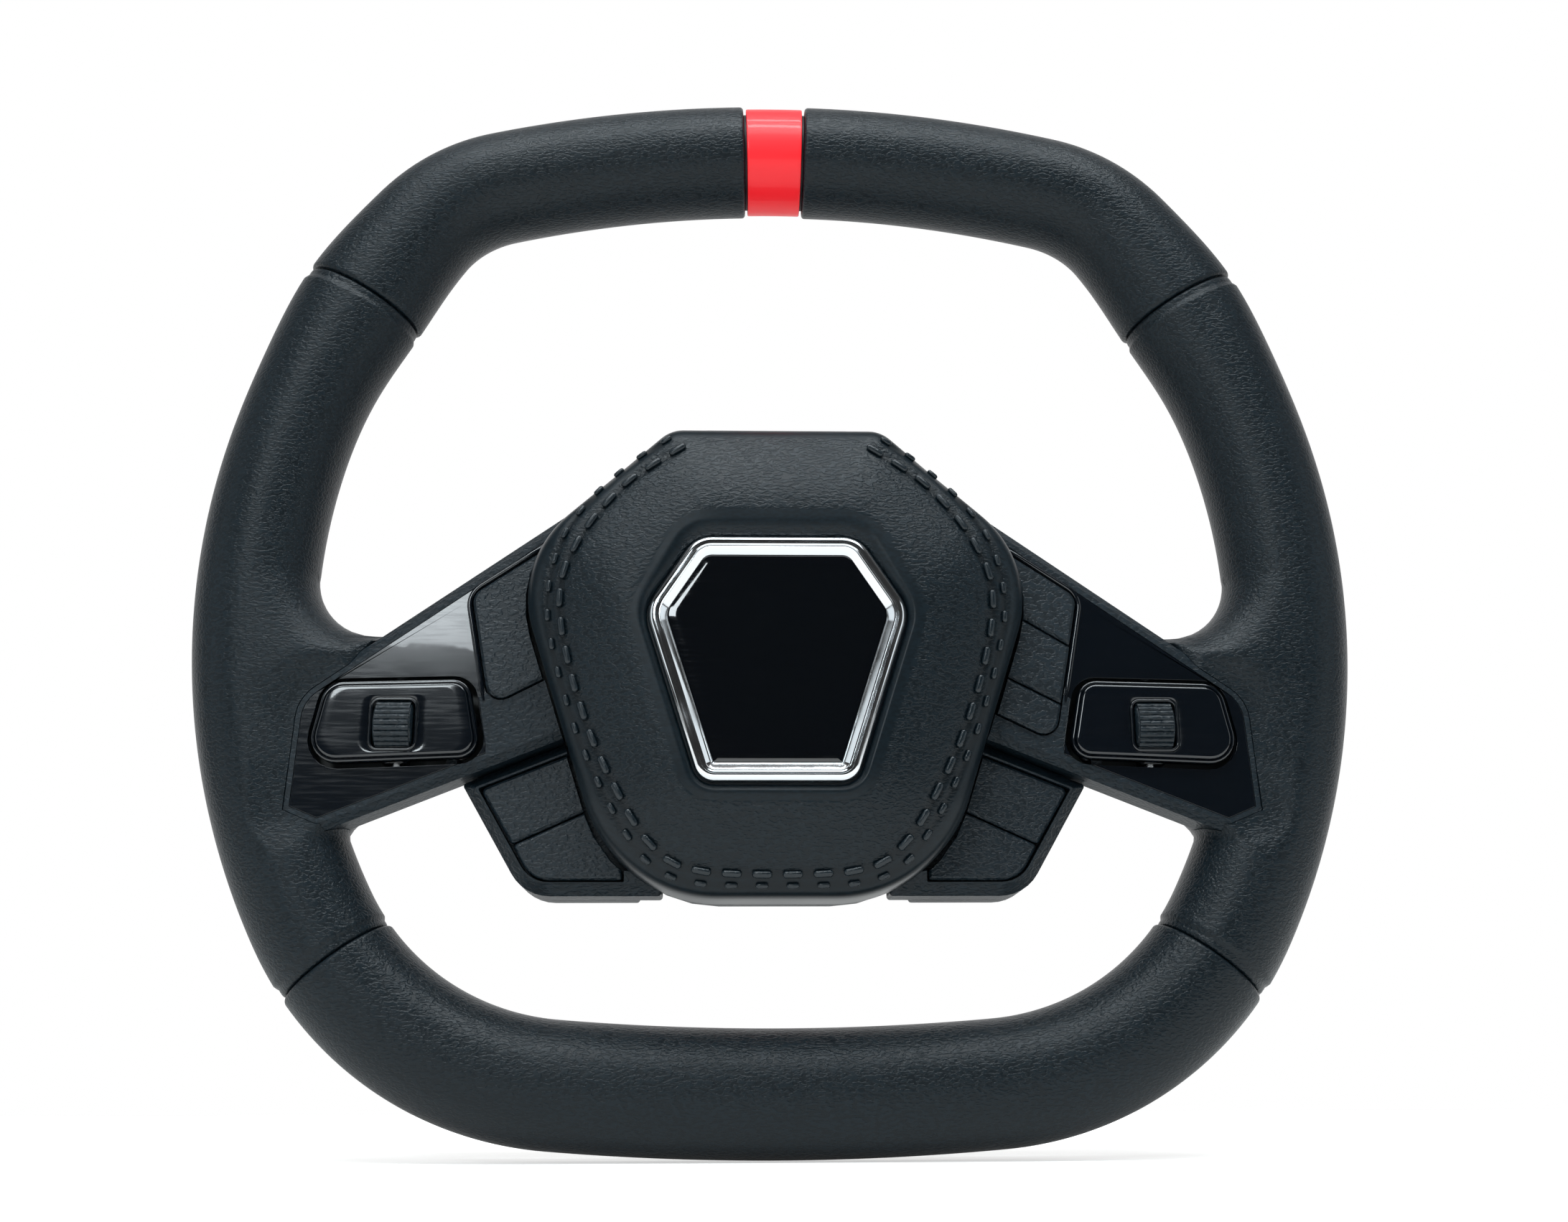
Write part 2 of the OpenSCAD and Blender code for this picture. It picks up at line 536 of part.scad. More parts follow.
// ---- Rockers, rollers and their pins ----
rocker_bevel = 1.4;
rocker_t = 4.5;
rocker_y0 = -face_y - rocker_proud;
rocker_ears = [[-9.8, -7], [-29.2, -27]];
cheek_t = 2.4;
module rocker() difference() {
    union() {
        hull() {
            slab(rocker_y0, rocker_y0 + EPS) outline(rocker_c, rocker_rad, rocker_gap + rocker_bevel);
            slab(rocker_y0 + rocker_bevel, rocker_y0 + rocker_t) outline(rocker_c, rocker_rad, rocker_gap);
        }
        for (e = rocker_ears) translate([roller_at[0] - 3.5, rocker_y0 + rocker_t - EPS - y_ref, e[0]])
            cube([7, rocker_pin_y + 2.6 - rocker_y0 - rocker_t, e[1] - e[0]]);
        for (k = [-1, 1]) translate([roller_at[0] + k * (window_w + cheek_t) / 2 - cheek_t / 2,
            rocker_y0 + rocker_t - EPS - y_ref, roller_at[1] - 3]) cube([cheek_t, 3, 6]);
    }
    slab(rocker_y0 - 1, rocker_y0 + rocker_t) translate(roller_at) square([window_w, window_h], center = true);
    slab(rocker_y0 + window_lip, rocker_y0 + rocker_t) translate(roller_at)
        square([window_w, 2 * roller_r + 0.8], center = true);
    rocker_bore(rocker_pin_r + run_clear);
    translate([roller_at[0] - 20, roller_y - y_ref, roller_at[1]]) rotate([0, 90, 0])
        cylinder(r = axle_r + run_clear / 2, h = 40);
}
function ridge_r(i) = i % 4 < 2 ? roller_r : roller_r - 0.6;
module roller() translate([roller_at[0] - roller_w / 2, roller_y - y_ref, roller_at[1]]) rotate([0, 90, 0])
    difference() {
        linear_extrude(roller_w) polygon([for (i = [0:4 * roller_n - 1]) let (a = (i + 0.3 * (i % 2)) * 90 / roller_n)
            ridge_r(i) * [cos(a), sin(a)]]);
        translate([0, 0, -1]) cylinder(r = axle_r + run_clear, h = roller_w + 2);
    }
module roller_axle() translate([roller_at[0] - window_w / 2 - cheek_t, roller_y - y_ref, roller_at[1]])
    rotate([0, 90, 0]) cylinder(r = axle_r, h = window_w + 2 * cheek_t);
module rocker_right() color("#0d0f12") rocker();
module rocker_left() color("#0d0f12") left() rocker();
module roller_right() color("#14171a") roller();
module roller_left() color("#14171a") left() roller();
module roller_axle_right() color("silver") roller_axle();
module roller_axle_left() color("silver") left() roller_axle();
module rocker_pins() color("silver") both() translate([roller_at[0], rocker_pin_y - y_ref, 0]) {
    translate([0, 0, rocker_ears[0][0]]) cylinder(r = rocker_pin_r, h = rocker_up_z + bracket_t - rocker_ears[0][0]);
    translate([0, 0, rocker_down_z - bracket_t])
        cylinder(r = rocker_pin_r, h = rocker_ears[1][1] - rocker_down_z + bracket_t);
}

// ---- Spoke buttons ----
key_flange = 0.9;
key_flange_y = -face_y + frame_face_t + 0.4;
key_flange_t = 1;
key_bevel = 0.8;
post_end_y = -1.3;
function widen(c, d) = [c[0], c[1] + unit(c[1] - c[0]) * d, c[2] + unit(c[2] - c[3]) * d, c[3]];
module key(c, r, posts) difference() {
    union() {
        hull() {
            slab(-face_y - key_proud, -face_y - key_proud + EPS) outline(c, r, key_bevel);
            slab(-face_y - key_proud + key_bevel, key_flange_y) outline(c, r);
        }
        slab(key_flange_y, key_flange_y + key_flange_t) outline(widen(c, key_gap + key_flange), r);
        for (p = posts) peg(p, post_r, key_flange_y + key_flange_t - EPS, post_end_y);
    }
    pad_room(-face_y - 3, key_flange_y + key_flange_t + EPS, key_gap);
}
// One key of the stack, with half a gap taken off at each divider
function stack_c(k) = let (c = bay_c(k, k + 1), g = [0, key_gap / 2 + 0.05])
    [c[0] + (k < 2 ? g : [0, 0]), c[1] + (k < 2 ? g : [0, 0]), c[2] - (k > 0 ? g : [0, 0]), c[3] - (k > 0 ? g : [0, 0])];
large_posts = [[across(0.086), 17], [across(0.071), -1]];
stack_posts = [[[across(0.057), 23], [across(0.171), 14]], [[across(0.029), 8], [across(0.143), -4]],
    [[across(0), -10], [across(0.107), -16.5]]];
large_dome = [across(0.114), 8];
stack_domes = [[across(0.143), 20], [across(0.121), 3.5], [across(0.0535), -13.25]];
module large_button_left() color("#20262c") left() key(large_c, [1, bay_round, bay_round, 1], large_posts);
module button_right_upper() color("#20262c") key(stack_c(0), [0.5, 0.5, bay_round, 1], stack_posts[0]);
module button_right_middle() color("#20262c") key(stack_c(1), [0.5, 0.5, 0.5, 0.5], stack_posts[1]);
module button_right_lower() color("#20262c") key(stack_c(2), [1, bay_round, 0.5, 0.5], stack_posts[2]);

// ---- Wings: lower switch housings and their buttons ----
wing_posts_up = [[62, -36], [76, -44]];
wing_posts_low = [[55, -54], [68, -58]];
wing_domes = [[69.5, -41], [62, -55.5]];
wing_key_t = 3.5;
module wing_housing() difference() {
    union() {
        hull() {
            slab(-wing_y, -wing_y + EPS) outline(wing_c, wing_rad, wing_bevel);
            slab(-wing_y + wing_bevel + 1, wing_floor_y) outline(wing_c, wing_rad);
        }
        slab(wing_floor_y, wing_back_y) outline(wing_c, wing_rad);
    }
    difference() {
        slab(-wing_y - 1, wing_floor_y) outline(wing_c, wing_rad, wing_wall);
        slab(-wing_y - 2, wing_floor_y + 1) translate([-100, 0]) square([100 + wing_in_x, 100]);
    }
    slab(wing_floor_y + wing_floor_t, wing_back_y + 1) outline(wing_c, wing_rad, wing_wall);
    slab(wing_floor_y + wing_floor_t, wing_back_y + 1)
        polygon([[wing_in_x - 1, wing_bot_z + wing_wall], [wing_in_x + 12, wing_bot_z + wing_wall],
            [wing_in_x + 14, wing_top(wing_in_x + 14) - 12], [wing_out_x + 2, wing_top(wing_out_x + 2) - 4],
            [wing_out_x + 2, wing_top(wing_out_x + 2) + 1], [wing_in_x - 1, wing_top(wing_in_x - 1) + 1]]);
    pad_room(-wing_y - 1, wing_floor_y);
    for (p = concat(wing_posts_up, wing_posts_low)) peg(p, post_r + run_clear, wing_floor_y - 1, 0);
    for (p = wing_screws) peg(p, frame_screw_r + hole_clear, wing_floor_y - 1, 0);
}
module wing_key(c, r, posts) difference() {
    union() {
        hull() {
            slab(-wing_y, -wing_y + EPS) outline(c, r, key_bevel);
            slab(-wing_y + key_bevel, -wing_y + wing_key_t) outline(c, r);
        }
        for (p = posts) peg(p, post_r, -wing_y + wing_key_t - EPS, wing_floor_y + wing_floor_t - key_travel);
    }
    pad_room(-wing_y - 1, 0, key_gap);
}
wing_in = wing_wall + key_gap;
wing_in_c = inset(wing_c, wing_in);
function wing_edge_x(z) = wing_in_c[1][0] + (z - wing_in_c[1][1]) / wing_side;
wing_up_c = let (z = wing_split(wing_split_x) + key_gap / 2) [[wing_in_c[0][0], wing_split(wing_in_c[0][0]) + key_gap / 2],
    [wing_edge_x(z), wing_split(wing_edge_x(z)) + key_gap / 2], wing_in_c[2], wing_in_c[3]];
wing_low_c = let (z = wing_split(wing_split_x) - key_gap / 2) [wing_in_c[0], wing_in_c[1],
    [wing_edge_x(z), wing_split(wing_edge_x(z)) - key_gap / 2],
    [wing_in_c[0][0], wing_split(wing_in_c[0][0]) - key_gap / 2]];
module wing_button_up() wing_key(wing_up_c, [1, 1, 1.5, 1], wing_posts_up);
module wing_button_low() wing_key(wing_low_c, [1, 9, 1, 1], wing_posts_low);
module wing_housing_right() color("#1f252b") wing_housing();
module wing_housing_left() color("#1f252b") left() wing_housing();
module wing_button_right_upper() color("#20262c") wing_button_up();
module wing_button_left_upper() color("#20262c") left() wing_button_up();
module wing_button_right_lower() color("#20262c") wing_button_low();
module wing_button_left_lower() color("#20262c") left() wing_button_low();

// ---- Switch boards and silicone domes ----
board_in_x = 62;
module switch_board(posts) difference() {
    slab(board_y, board_y + board_t) outline(frame_c, frame_rad, frame_wall + 0.5);
    slab(board_y - 1, board_y + board_t + 1) translate([0, -100]) square([board_in_x, 200]);
    for (p = frame_posts) peg(p, post_tip_r + 0.2, board_y - 1, board_y + board_t + 1);
    for (p = posts) peg(p, post_r + run_clear, board_y - 1, board_y + board_t + 1);
    rod_room(board_y - 1, board_y + board_t + 1);
}
module switch_board_right() color("#1d5a3a") switch_board([for (k = stack_posts) each k]);
module switch_board_left() color("#1d5a3a") left() switch_board(large_posts);
dome_r = 3;
module dome(p, y0, y1) translate([p[0], y0 - y_ref, p[1]]) rotate([90, 0, 0])
    cylinder(r1 = dome_r, r2 = dome_r * 0.5, h = y0 - y1);
key_dome_y = key_flange_y + key_flange_t + key_travel + 0.1;
rocker_dome_x = [across(0.264), spoke_reach - 12.5];
rocker_dome_z = -15;
rocker_dome_y = rocker_y0 + rocker_t + 2.2;
module switch_domes() color("#c9ccd0") {
    for (p = stack_domes) dome(p, board_y, key_dome_y);
    left() dome(large_dome, board_y, key_dome_y);
    both() {
        for (p = wing_domes) dome(p, wing_floor_y, -wing_y + wing_key_t + key_travel + 0.1);
        for (x = rocker_dome_x) dome([x, rocker_dome_z], board_y, rocker_dome_y);
    }
}

// ---- Horn pad, badge place, guide bolts and springs ----
badge_c = [[-21.8, -38.9], [21.8, -38.9], [37.6, 10.5], [23.4, 32.2], [-23.4, 32.2], [-37.6, 10.5]];
badge_rad = [5, 5, 6, 4, 4, 6];
recess_top = 5;
recess_c = [for (p = badge_c) p[1] > 20 ? p + [sign(p[0]) * 1, recess_top - 1] : p];
recess_y = -pad_y + badge_depth;
pad_back_y = -8;
pad_rise = pad_y - pad_shoulder_y;
// Steps from the pad's rear edge over the shoulder to the crown: [inset, share of the rise]
pad_steps = [[0, 0], [0.4, 0.14], [1.6, 0.29], [3.6, 0.4], [6.5, 0.5], [11, 0.62], [17, 0.76], [23, 0.88], [29, 0.96]];
function pad_ring(d, y) = [for (p = rounded(inset(pad_c, d), less(pad_rad, d * 0.6))) [p[0], y - y_ref, p[1]]];
module loft(rings) {
    n = len(rings[0]);
    m = len(rings);
    polyhedron([for (r = rings) each r], concat([[for (i = [n - 1:-1:0]) i]],
        [for (j = [0:m - 2], i = [0:n - 1]) let (a = j * n + i, b = j * n + (i + 1) % n)
            each [[a, b, a + n], [b, b + n, a + n]]], [[for (i = [0:n - 1]) (m - 1) * n + i]]), convexity = 6);
}
boss_r = 7.5;
boss_y = -9.2;
guide_pin_r = 3;
guide_flange_t = 2;
guide_flange_r = 5;
guide_end_y = -17;
module horn_pad() color("#1f252b") difference() {
    union() {
        difference() {
            loft(concat([for (i = [len(pad_steps) - 1:-1:0]) let (t = pad_steps[i])
                pad_ring(t[0], -pad_shoulder_y - pad_rise * t[1])], [pad_ring(0, pad_back_y)]));
            slab(-pad_shoulder_y - 1, 0) outline(pad_c, pad_rad, pad_wall);
            slab(-pad_shoulder_y - pad_rise * 0.3, 0) outline(pad_c, pad_rad, pad_wall + 6);
        }
        both() for (p = guide_at) peg(p, boss_r, -pad_shoulder_y - pad_rise * 0.3 - 1, boss_y);
    }
    slab(-pad_y - 3, recess_y) outline(badge_c, badge_rad, -seat_clear);
    hull() {
        slab(-pad_y - EPS, -pad_y + EPS) outline(recess_c, badge_rad, -2.5);
        slab(recess_y + 0.4, recess_y + 0.5) outline(badge_c, badge_rad, -seat_clear);
    }
    both() for (p = guide_at) peg(p, guide_pin_r + run_clear, guide_end_y - horn_travel - 1, boss_y + 1);
}
ring_proud = 3.4;
plate_proud = 1.6;
module badge_ring() color("silver") difference() {
    hull() {
        slab(recess_y - ring_proud, recess_y - ring_proud + EPS) outline(badge_c, badge_rad, 1.6);
        slab(recess_y - ring_proud + 1.6, recess_y) outline(badge_c, badge_rad);
    }
    slab(recess_y - ring_proud - 1, recess_y + 1) outline(badge_c, badge_rad, ring_w);
    hull() {
        slab(recess_y - ring_proud - EPS, recess_y - ring_proud) outline(badge_c, badge_rad, 2.6);
        slab(recess_y - plate_proud, recess_y - plate_proud + EPS) outline(badge_c, badge_rad, ring_w);
    }
}
module badge_plate() color("#050607") slab(recess_y - plate_proud, recess_y) outline(badge_c, badge_rad, ring_w + 0.05);
module horn_guide_bolts() color("silver") both() for (p = guide_at) {
    peg(p, guide_pin_r, guide_end_y, arm_y - guide_flange_t);
    peg(p, guide_flange_r, arm_y - guide_flange_t - EPS, arm_y);
    peg(p, hub_screw_r, arm_y - EPS, flange_y0 + 3);
    translate([p[0], flange_y0 + 3 - y_ref, p[1]]) rotate([90, 0, 0]) cylinder(r = 4, h = 3, $fn = 6);
}
// A coil about the line through p along Y, from y0 back to y1
module coil(p, r, wire_r, turns, y0, y1, seg, sides) {
    n = seg * turns;
    rings = [for (i = [0:n]) let (a = 360 * i / seg, y = y0 + wire_r + (y1 - y0 - 2 * wire_r) * i / n)
        [for (k = [0:sides - 1]) let (b = 360 * k / sides, q = r + wire_r * cos(b))
            [p[0] + q * cos(a), y + wire_r * sin(b) - y_ref, p[1] + q * sin(a)]]];
    loft([for (i = [n:-1:0]) rings[i]]);
}
horn_coil_r = 5;
horn_wire_r = 0.5;
module horn_springs() color("silver") both() for (p = guide_at)
    coil(p, horn_coil_r, horn_wire_r, 3, boss_y + 0.05, arm_y - guide_flange_t - 0.05, 12, 6);

// ---- Rear cover ----
cover_front_y = -5.5;
cover_spoke_y = -0.7;
cover_hub_in = 1.5;
cover_edge_in = 1;
cover_corner = 3;
cover_rim = [for (s = [root_low:-15:root_up]) edge_at(s, cover_grip_gap - cover_edge_in)];
cover_end = [for (p = cover_rim) if (p[1] < spoke_up(p[0]) - cover_corner) p];
cover_out = cover_end[len(cover_end) - 1][0];
cover_c = concat([[hub_top_half, spoke_low(hub_top_half)], [cover_end[0][0], spoke_low(cover_end[0][0])]],
    cover_end, [[cover_out, spoke_up(cover_out)], [hub_top_half, hub_top_z]]);
cover_rad = [for (p = cover_c) 1];
cover_in_y = cover_y - cover_wall;
cover_boss_r = 4.5;
cover_hole_r = flange_r + 1.5;
screw_head_t = 2.4;
module cover_body(y0, c, r, d) hull() {
    slab(y0, cover_y - cover_bevel) outline(c, r, d);
    slab(cover_y - EPS, cover_y) outline(c, r, d + cover_bevel);
}
module rear_cover() color("#1a1e22") difference() {
    union() {
        difference() {
            union() {
                cover_body(cover_front_y, pad_c, pad_rad, cover_hub_in);
                both() {
                    cover_body(cover_spoke_y, cover_c, cover_rad, cover_edge_in);
                    cover_body(wing_back_y + 0.3, wing_c, wing_rad, 0);
                }
            }
            slab(cover_front_y - 1, cover_in_y) outline(pad_c, pad_rad, cover_hub_in + cover_wall);
            both() {
                slab(cover_front_y - 1, cover_in_y) outline(cover_c, cover_rad, cover_edge_in + cover_wall);
                slab(cover_front_y - 1, cover_in_y) outline(wing_c, wing_rad, cover_wall);
                slab(cover_front_y - 1, wing_back_y + 0.3) outline(wing_c, wing_rad, -0.4);
                slab(cover_front_y - 1, cover_spoke_y) outline(frame_c, frame_rad, -0.4);
            }
        }
        both() for (p = cover_posts) peg(p, cover_boss_r, flange_y0, cover_in_y + EPS);
    }
    both() {
        struts(strut_w + 2 * rod_clear, cover_spoke_y - 1, flange_y0 + rod_clear - EPS * 50);
        for (p = cover_posts) {
            peg(p, cover_screw_r + hole_clear, 0, cover_y + 1);
            peg(p, cover_screw_r * 2, cover_y - screw_head_t, cover_y + 1);
        }
    }
    peg([0, 0], cover_hole_r, 0, cover_y + 1);
}
module screw(p, r, head_r, y0, y1, head_t) {
    peg(p, r, y0, y1 + EPS);
    peg(p, head_r, y1, y1 + head_t);
}
module cover_screws() color("dimgray") both() for (p = cover_posts)
    screw(p, cover_screw_r, cover_screw_r * 1.85, arm_y + 2, cover_y - screw_head_t, screw_head_t - 0.3);
module frame_screws() color("dimgray") both() {
    for (p = frame_posts) screw(p, frame_screw_r, 3.5, -6, flange_y0, 2);
    for (p = wing_screws) {
        peg(p, frame_screw_r, wing_floor_y - EPS, arm_y + 4.5);
        peg(p, 3.4, wing_floor_y - 1.8, wing_floor_y);
    }
}

// ---- Quick release ----
spline_w = 3.4;
hub_bolt_head = 4.5;
ball_in_r = mouth_r + ball_r - ball_travel;
cam_slope = ball_travel / collar_travel;
cam_r = ball_in_r + ball_r / cos(atan(cam_slope)) + 0.06;
collar_bore_r = barrel_r + run_clear;
cam_y0 = ball_y - (cam_r - collar_bore_r) / cam_slope;
collar_y1 = ball_y + collar_travel + 1;
collar_y0 = collar_y1 - collar_len;
cam_end_r = cam_r + cam_slope * (collar_y1 - ball_y);
spring_pocket_r = barrel_r + 4.5;
spring_seat_y = collar_y0 + 9;
coil_wire_r = 0.9;
ring_y0 = collar_y1 + 0.2;
ring_t = 1.5;
mouth_end_y = ring_y0 + ring_t + 3;
function ball_angle(i) = 360 * (i + 0.5) / ball_n;
module radial(a) translate([0, ball_y - y_ref, 0]) rotate([0, -a, 0]) rotate([0, 90, 0]) children();
module hub_socket() color("#b9bdc2") difference() {
    turned() polygon([[spline_r, flange_y0], [flange_r - 1, flange_y0], [flange_r, flange_y0 + 1],
        [flange_r, flange_y1 - 1], [flange_r - 1, flange_y1], [barrel_r, flange_y1],
        [barrel_r, ring_y0 - 0.1], [barrel_r - 1.2, ring_y0 - 0.1], [barrel_r - 1.2, ring_y0 + ring_t + 0.1],
        [barrel_r, ring_y0 + ring_t + 0.1], [barrel_r, mouth_end_y - 0.8], [barrel_r - 0.8, mouth_end_y],
        [mouth_r + 1.5, mouth_end_y], [mouth_r, mouth_end_y - 2], [mouth_r, pilot_y1], [pilot_r, pilot_y1],
        [pilot_r, pilot_y0], [spline_r, pilot_y0]]);
    for (i = [0:spline_n - 1]) translate([0, flange_y0 - 1 - y_ref, 0]) rotate([0, 360 * i / spline_n, 0])
        translate([0, 0, -spline_w / 2]) cube([spline_r + spline_depth, spline_len + 1, spline_w]);
    for (i = [0:bolt_n - 1]) peg(bolt_at(i), bolt_r + run_clear, flange_y0 - 1, flange_y1 + 1);
    for (i = [0:ball_n - 1]) radial(ball_angle(i)) {
        translate([0, 0, mouth_r + 1.2]) cylinder(r = ball_r + run_clear, h = barrel_r - mouth_r);
        translate([0, 0, mouth_r - 0.6]) cylinder(r1 = ball_r * 0.86, r2 = ball_r + run_clear, h = 1.8 + EPS);
    }
}
module hub_bolts() color("dimgray") for (i = [0:bolt_n - 1]) {
    peg(bolt_at(i), bolt_r, arm_y - EPS, flange_y1);
    peg(bolt_at(i), hub_bolt_head, arm_y - 2.8, arm_y);
}
module lock_ball(i) color("silver") radial(ball_angle(i)) translate([0, 0, ball_in_r]) sphere(ball_r);
module lock_ball_1() lock_ball(0);
module lock_ball_2() lock_ball(1);
module lock_ball_3() lock_ball(2);
module lock_ball_4() lock_ball(3);
module lock_ball_5() lock_ball(4);
module lock_ball_6() lock_ball(5);
module release_collar() color("#c4161c") turned() polygon([[spring_pocket_r, collar_y0], [collar_r - 3, collar_y0],
    [collar_r - 2, collar_y0 + 1], [collar_r - 2, collar_y1 - 11], [collar_r, collar_y1 - 9],
    [collar_r, collar_y1 - 1.5], [collar_r - 1.5, collar_y1], [cam_end_r, collar_y1], [collar_bore_r, cam_y0],
    [collar_bore_r, spring_seat_y], [spring_pocket_r, spring_seat_y]]);
module collar_spring() color("silver") coil([0, 0], barrel_r + 2.2, coil_wire_r, 3, flange_y1 + 0.1,
    spring_seat_y - 0.1, 24, 6);
module retaining_ring() color("dimgray") difference() {
    turned() polygon([[barrel_r - 1.1, ring_y0], [barrel_r + 4, ring_y0], [barrel_r + 4, ring_y0 + ring_t],
        [barrel_r - 1.1, ring_y0 + ring_t]]);
    slab(ring_y0 - 1, ring_y0 + ring_t + 1) translate([-3, 0]) square([6, 40]);
}

armature();
grip_top_left();
grip_top_right();
grip_left();
grip_right();
grip_bottom();
centre_band();
spoke_frame_left();
spoke_frame_right();
gloss_insert_left();
gloss_insert_right();
rocker_left();
rocker_right();
rocker_pins();
roller_left();
roller_right();
roller_axle_left();
roller_axle_right();
large_button_left();
button_right_upper();
button_right_middle();
button_right_lower();
wing_housing_left();
wing_housing_right();
wing_button_left_upper();
wing_button_left_lower();
wing_button_right_upper();
wing_button_right_lower();
switch_board_left();
switch_board_right();
switch_domes();
horn_pad();
badge_ring();
badge_plate();
horn_guide_bolts();
horn_springs();
rear_cover();
cover_screws();
frame_screws();
hub_socket();
hub_bolts();
lock_ball_1();
lock_ball_2();
lock_ball_3();
lock_ball_4();
lock_ball_5();
lock_ball_6();
release_collar();
collar_spring();
retaining_ring();
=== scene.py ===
import json
import math

import bmesh
import bpy
import numpy as np
from bpy.props import FloatProperty, FloatVectorProperty, IntProperty, PointerProperty
from mathutils import Matrix, Vector

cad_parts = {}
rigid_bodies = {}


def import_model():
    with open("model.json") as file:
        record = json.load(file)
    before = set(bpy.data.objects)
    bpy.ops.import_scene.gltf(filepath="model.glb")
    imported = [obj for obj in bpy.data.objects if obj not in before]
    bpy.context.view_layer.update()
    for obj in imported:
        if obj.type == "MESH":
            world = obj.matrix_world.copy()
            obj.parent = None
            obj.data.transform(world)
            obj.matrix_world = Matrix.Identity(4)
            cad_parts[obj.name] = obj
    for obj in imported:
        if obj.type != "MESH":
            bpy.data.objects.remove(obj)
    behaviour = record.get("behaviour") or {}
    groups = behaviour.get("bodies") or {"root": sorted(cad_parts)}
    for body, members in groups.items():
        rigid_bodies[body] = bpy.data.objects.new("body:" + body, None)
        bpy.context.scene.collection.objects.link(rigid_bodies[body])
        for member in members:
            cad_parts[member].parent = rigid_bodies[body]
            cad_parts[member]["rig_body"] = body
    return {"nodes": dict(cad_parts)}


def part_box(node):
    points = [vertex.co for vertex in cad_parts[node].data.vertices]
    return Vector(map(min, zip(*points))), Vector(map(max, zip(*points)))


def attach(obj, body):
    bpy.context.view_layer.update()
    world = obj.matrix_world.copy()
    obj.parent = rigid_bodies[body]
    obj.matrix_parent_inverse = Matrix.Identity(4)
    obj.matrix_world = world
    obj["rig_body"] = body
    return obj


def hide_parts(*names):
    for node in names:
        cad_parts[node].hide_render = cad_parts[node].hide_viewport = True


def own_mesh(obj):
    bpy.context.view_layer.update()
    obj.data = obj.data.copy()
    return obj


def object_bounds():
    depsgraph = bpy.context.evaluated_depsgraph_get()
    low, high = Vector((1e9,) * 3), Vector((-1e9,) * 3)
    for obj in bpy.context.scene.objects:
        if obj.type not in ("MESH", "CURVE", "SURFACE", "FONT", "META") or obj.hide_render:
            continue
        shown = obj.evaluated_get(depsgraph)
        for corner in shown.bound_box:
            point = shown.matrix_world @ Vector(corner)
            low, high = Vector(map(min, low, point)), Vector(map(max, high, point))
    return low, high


bl_info = {
    "name": "Quick Release Steering Wheel",
    "version": (1, 0, 0),
    "blender": (4, 5, 0),
    "location": "View3D > Sidebar > Wheel",
    "description": "Builds the skins, stitching, switches and quick release of a flat-bottomed wheel",
    "category": "Object",
}

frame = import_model()
CAD_BOX = [list(v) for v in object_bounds()]

MM = 0.001
# Distance from the rim's centre plane back to the frame's origin, in millimetres
Y_REF = 31.0


def srgb(code):
    """Linear RGBA of an sRGB hex colour."""
    parts = [int(code[i:i + 2], 16) / 255 for i in (1, 3, 5)]
    return tuple(p / 12.92 if p <= 0.04045 else ((p + 0.055) / 1.055) ** 2.4 for p in parts) + (1.0,)


# ---------------------------------------------------------------- sizes and colours a user would change

def length(label, text, value, low=0.0):
    return FloatProperty(name=label, description=text, default=value, min=low, max=1.0, subtype="DISTANCE",
                         unit="LENGTH", precision=5)


def count(label, text, value, low, high):
    return IntProperty(name=label, description=text, default=value, min=low, max=high)


def colour(label, text, code):
    return FloatVectorProperty(name=label, description=text, default=srgb(code), size=4, min=0, max=1,
                               subtype="COLOR")


def point(label, text, value):
    return FloatVectorProperty(name=label, description=text, default=value, size=3, subtype="TRANSLATION",
                               unit="LENGTH", precision=4)


def watts(label, text, value):
    return FloatProperty(name=label, description=text, default=value, min=0, unit="POWER")


class WheelSizes(bpy.types.PropertyGroup):
    grain_pitch: length("Grain Pitch", "Width of one wrinkle of the leather grain", 0.0006)
    grain_depth: length("Grain Depth", "Height of the leather grain", 0.00009)
    seam_depth: length("Seam Depth", "Depth of the channels that the pad's stitches lie in", 0.0005)
    stitch_long: length("Inner Stitch Length", "Length of a stitch in the pad's inner row", 0.0056)
    stitch_short: length("Outer Stitch Length", "Length of a stitch in the pad's outer row", 0.0036)
    stitch_wide: length("Stitch Width", "Width of a stitch", 0.0021)
    stitch_step: length("Stitch Step", "From the middle of one stitch to the next", 0.0084)
    edge_round: length("Edge Rounding", "Radius of the small rounding on moulded edges", 0.0003)
    key_round: length("Key Rounding", "Radius of the rounding on the keys' edges", 0.0006)
    ridge_count: count("Roller Ridges", "Ridges round a thumb roller", 28, 12, 48)
    knurl_count: count("Collar Ridges", "Grip ridges round the release collar", 60, 24, 120)


class WheelColours(bpy.types.PropertyGroup):
    grip: colour("Grip", "Moulded grips and horn pad", "#0a151b")
    shell: colour("Shell", "Grained plastic of the spokes, wings and rear cover", "#0d1920")
    gloss: colour("Gloss Black", "Inserts, rockers and badge face", "#050a10")
    band: colour("Centre Band", "Band at 12 o'clock", "#fb0018")
    trim: colour("Bright Trim", "Ring round the badge place", "#e6e8ea")
    collar: colour("Collar", "Anodised release collar", "#b0121b")
    alloy: colour("Socket", "Clear anodised hub socket", "#c9ccd0")


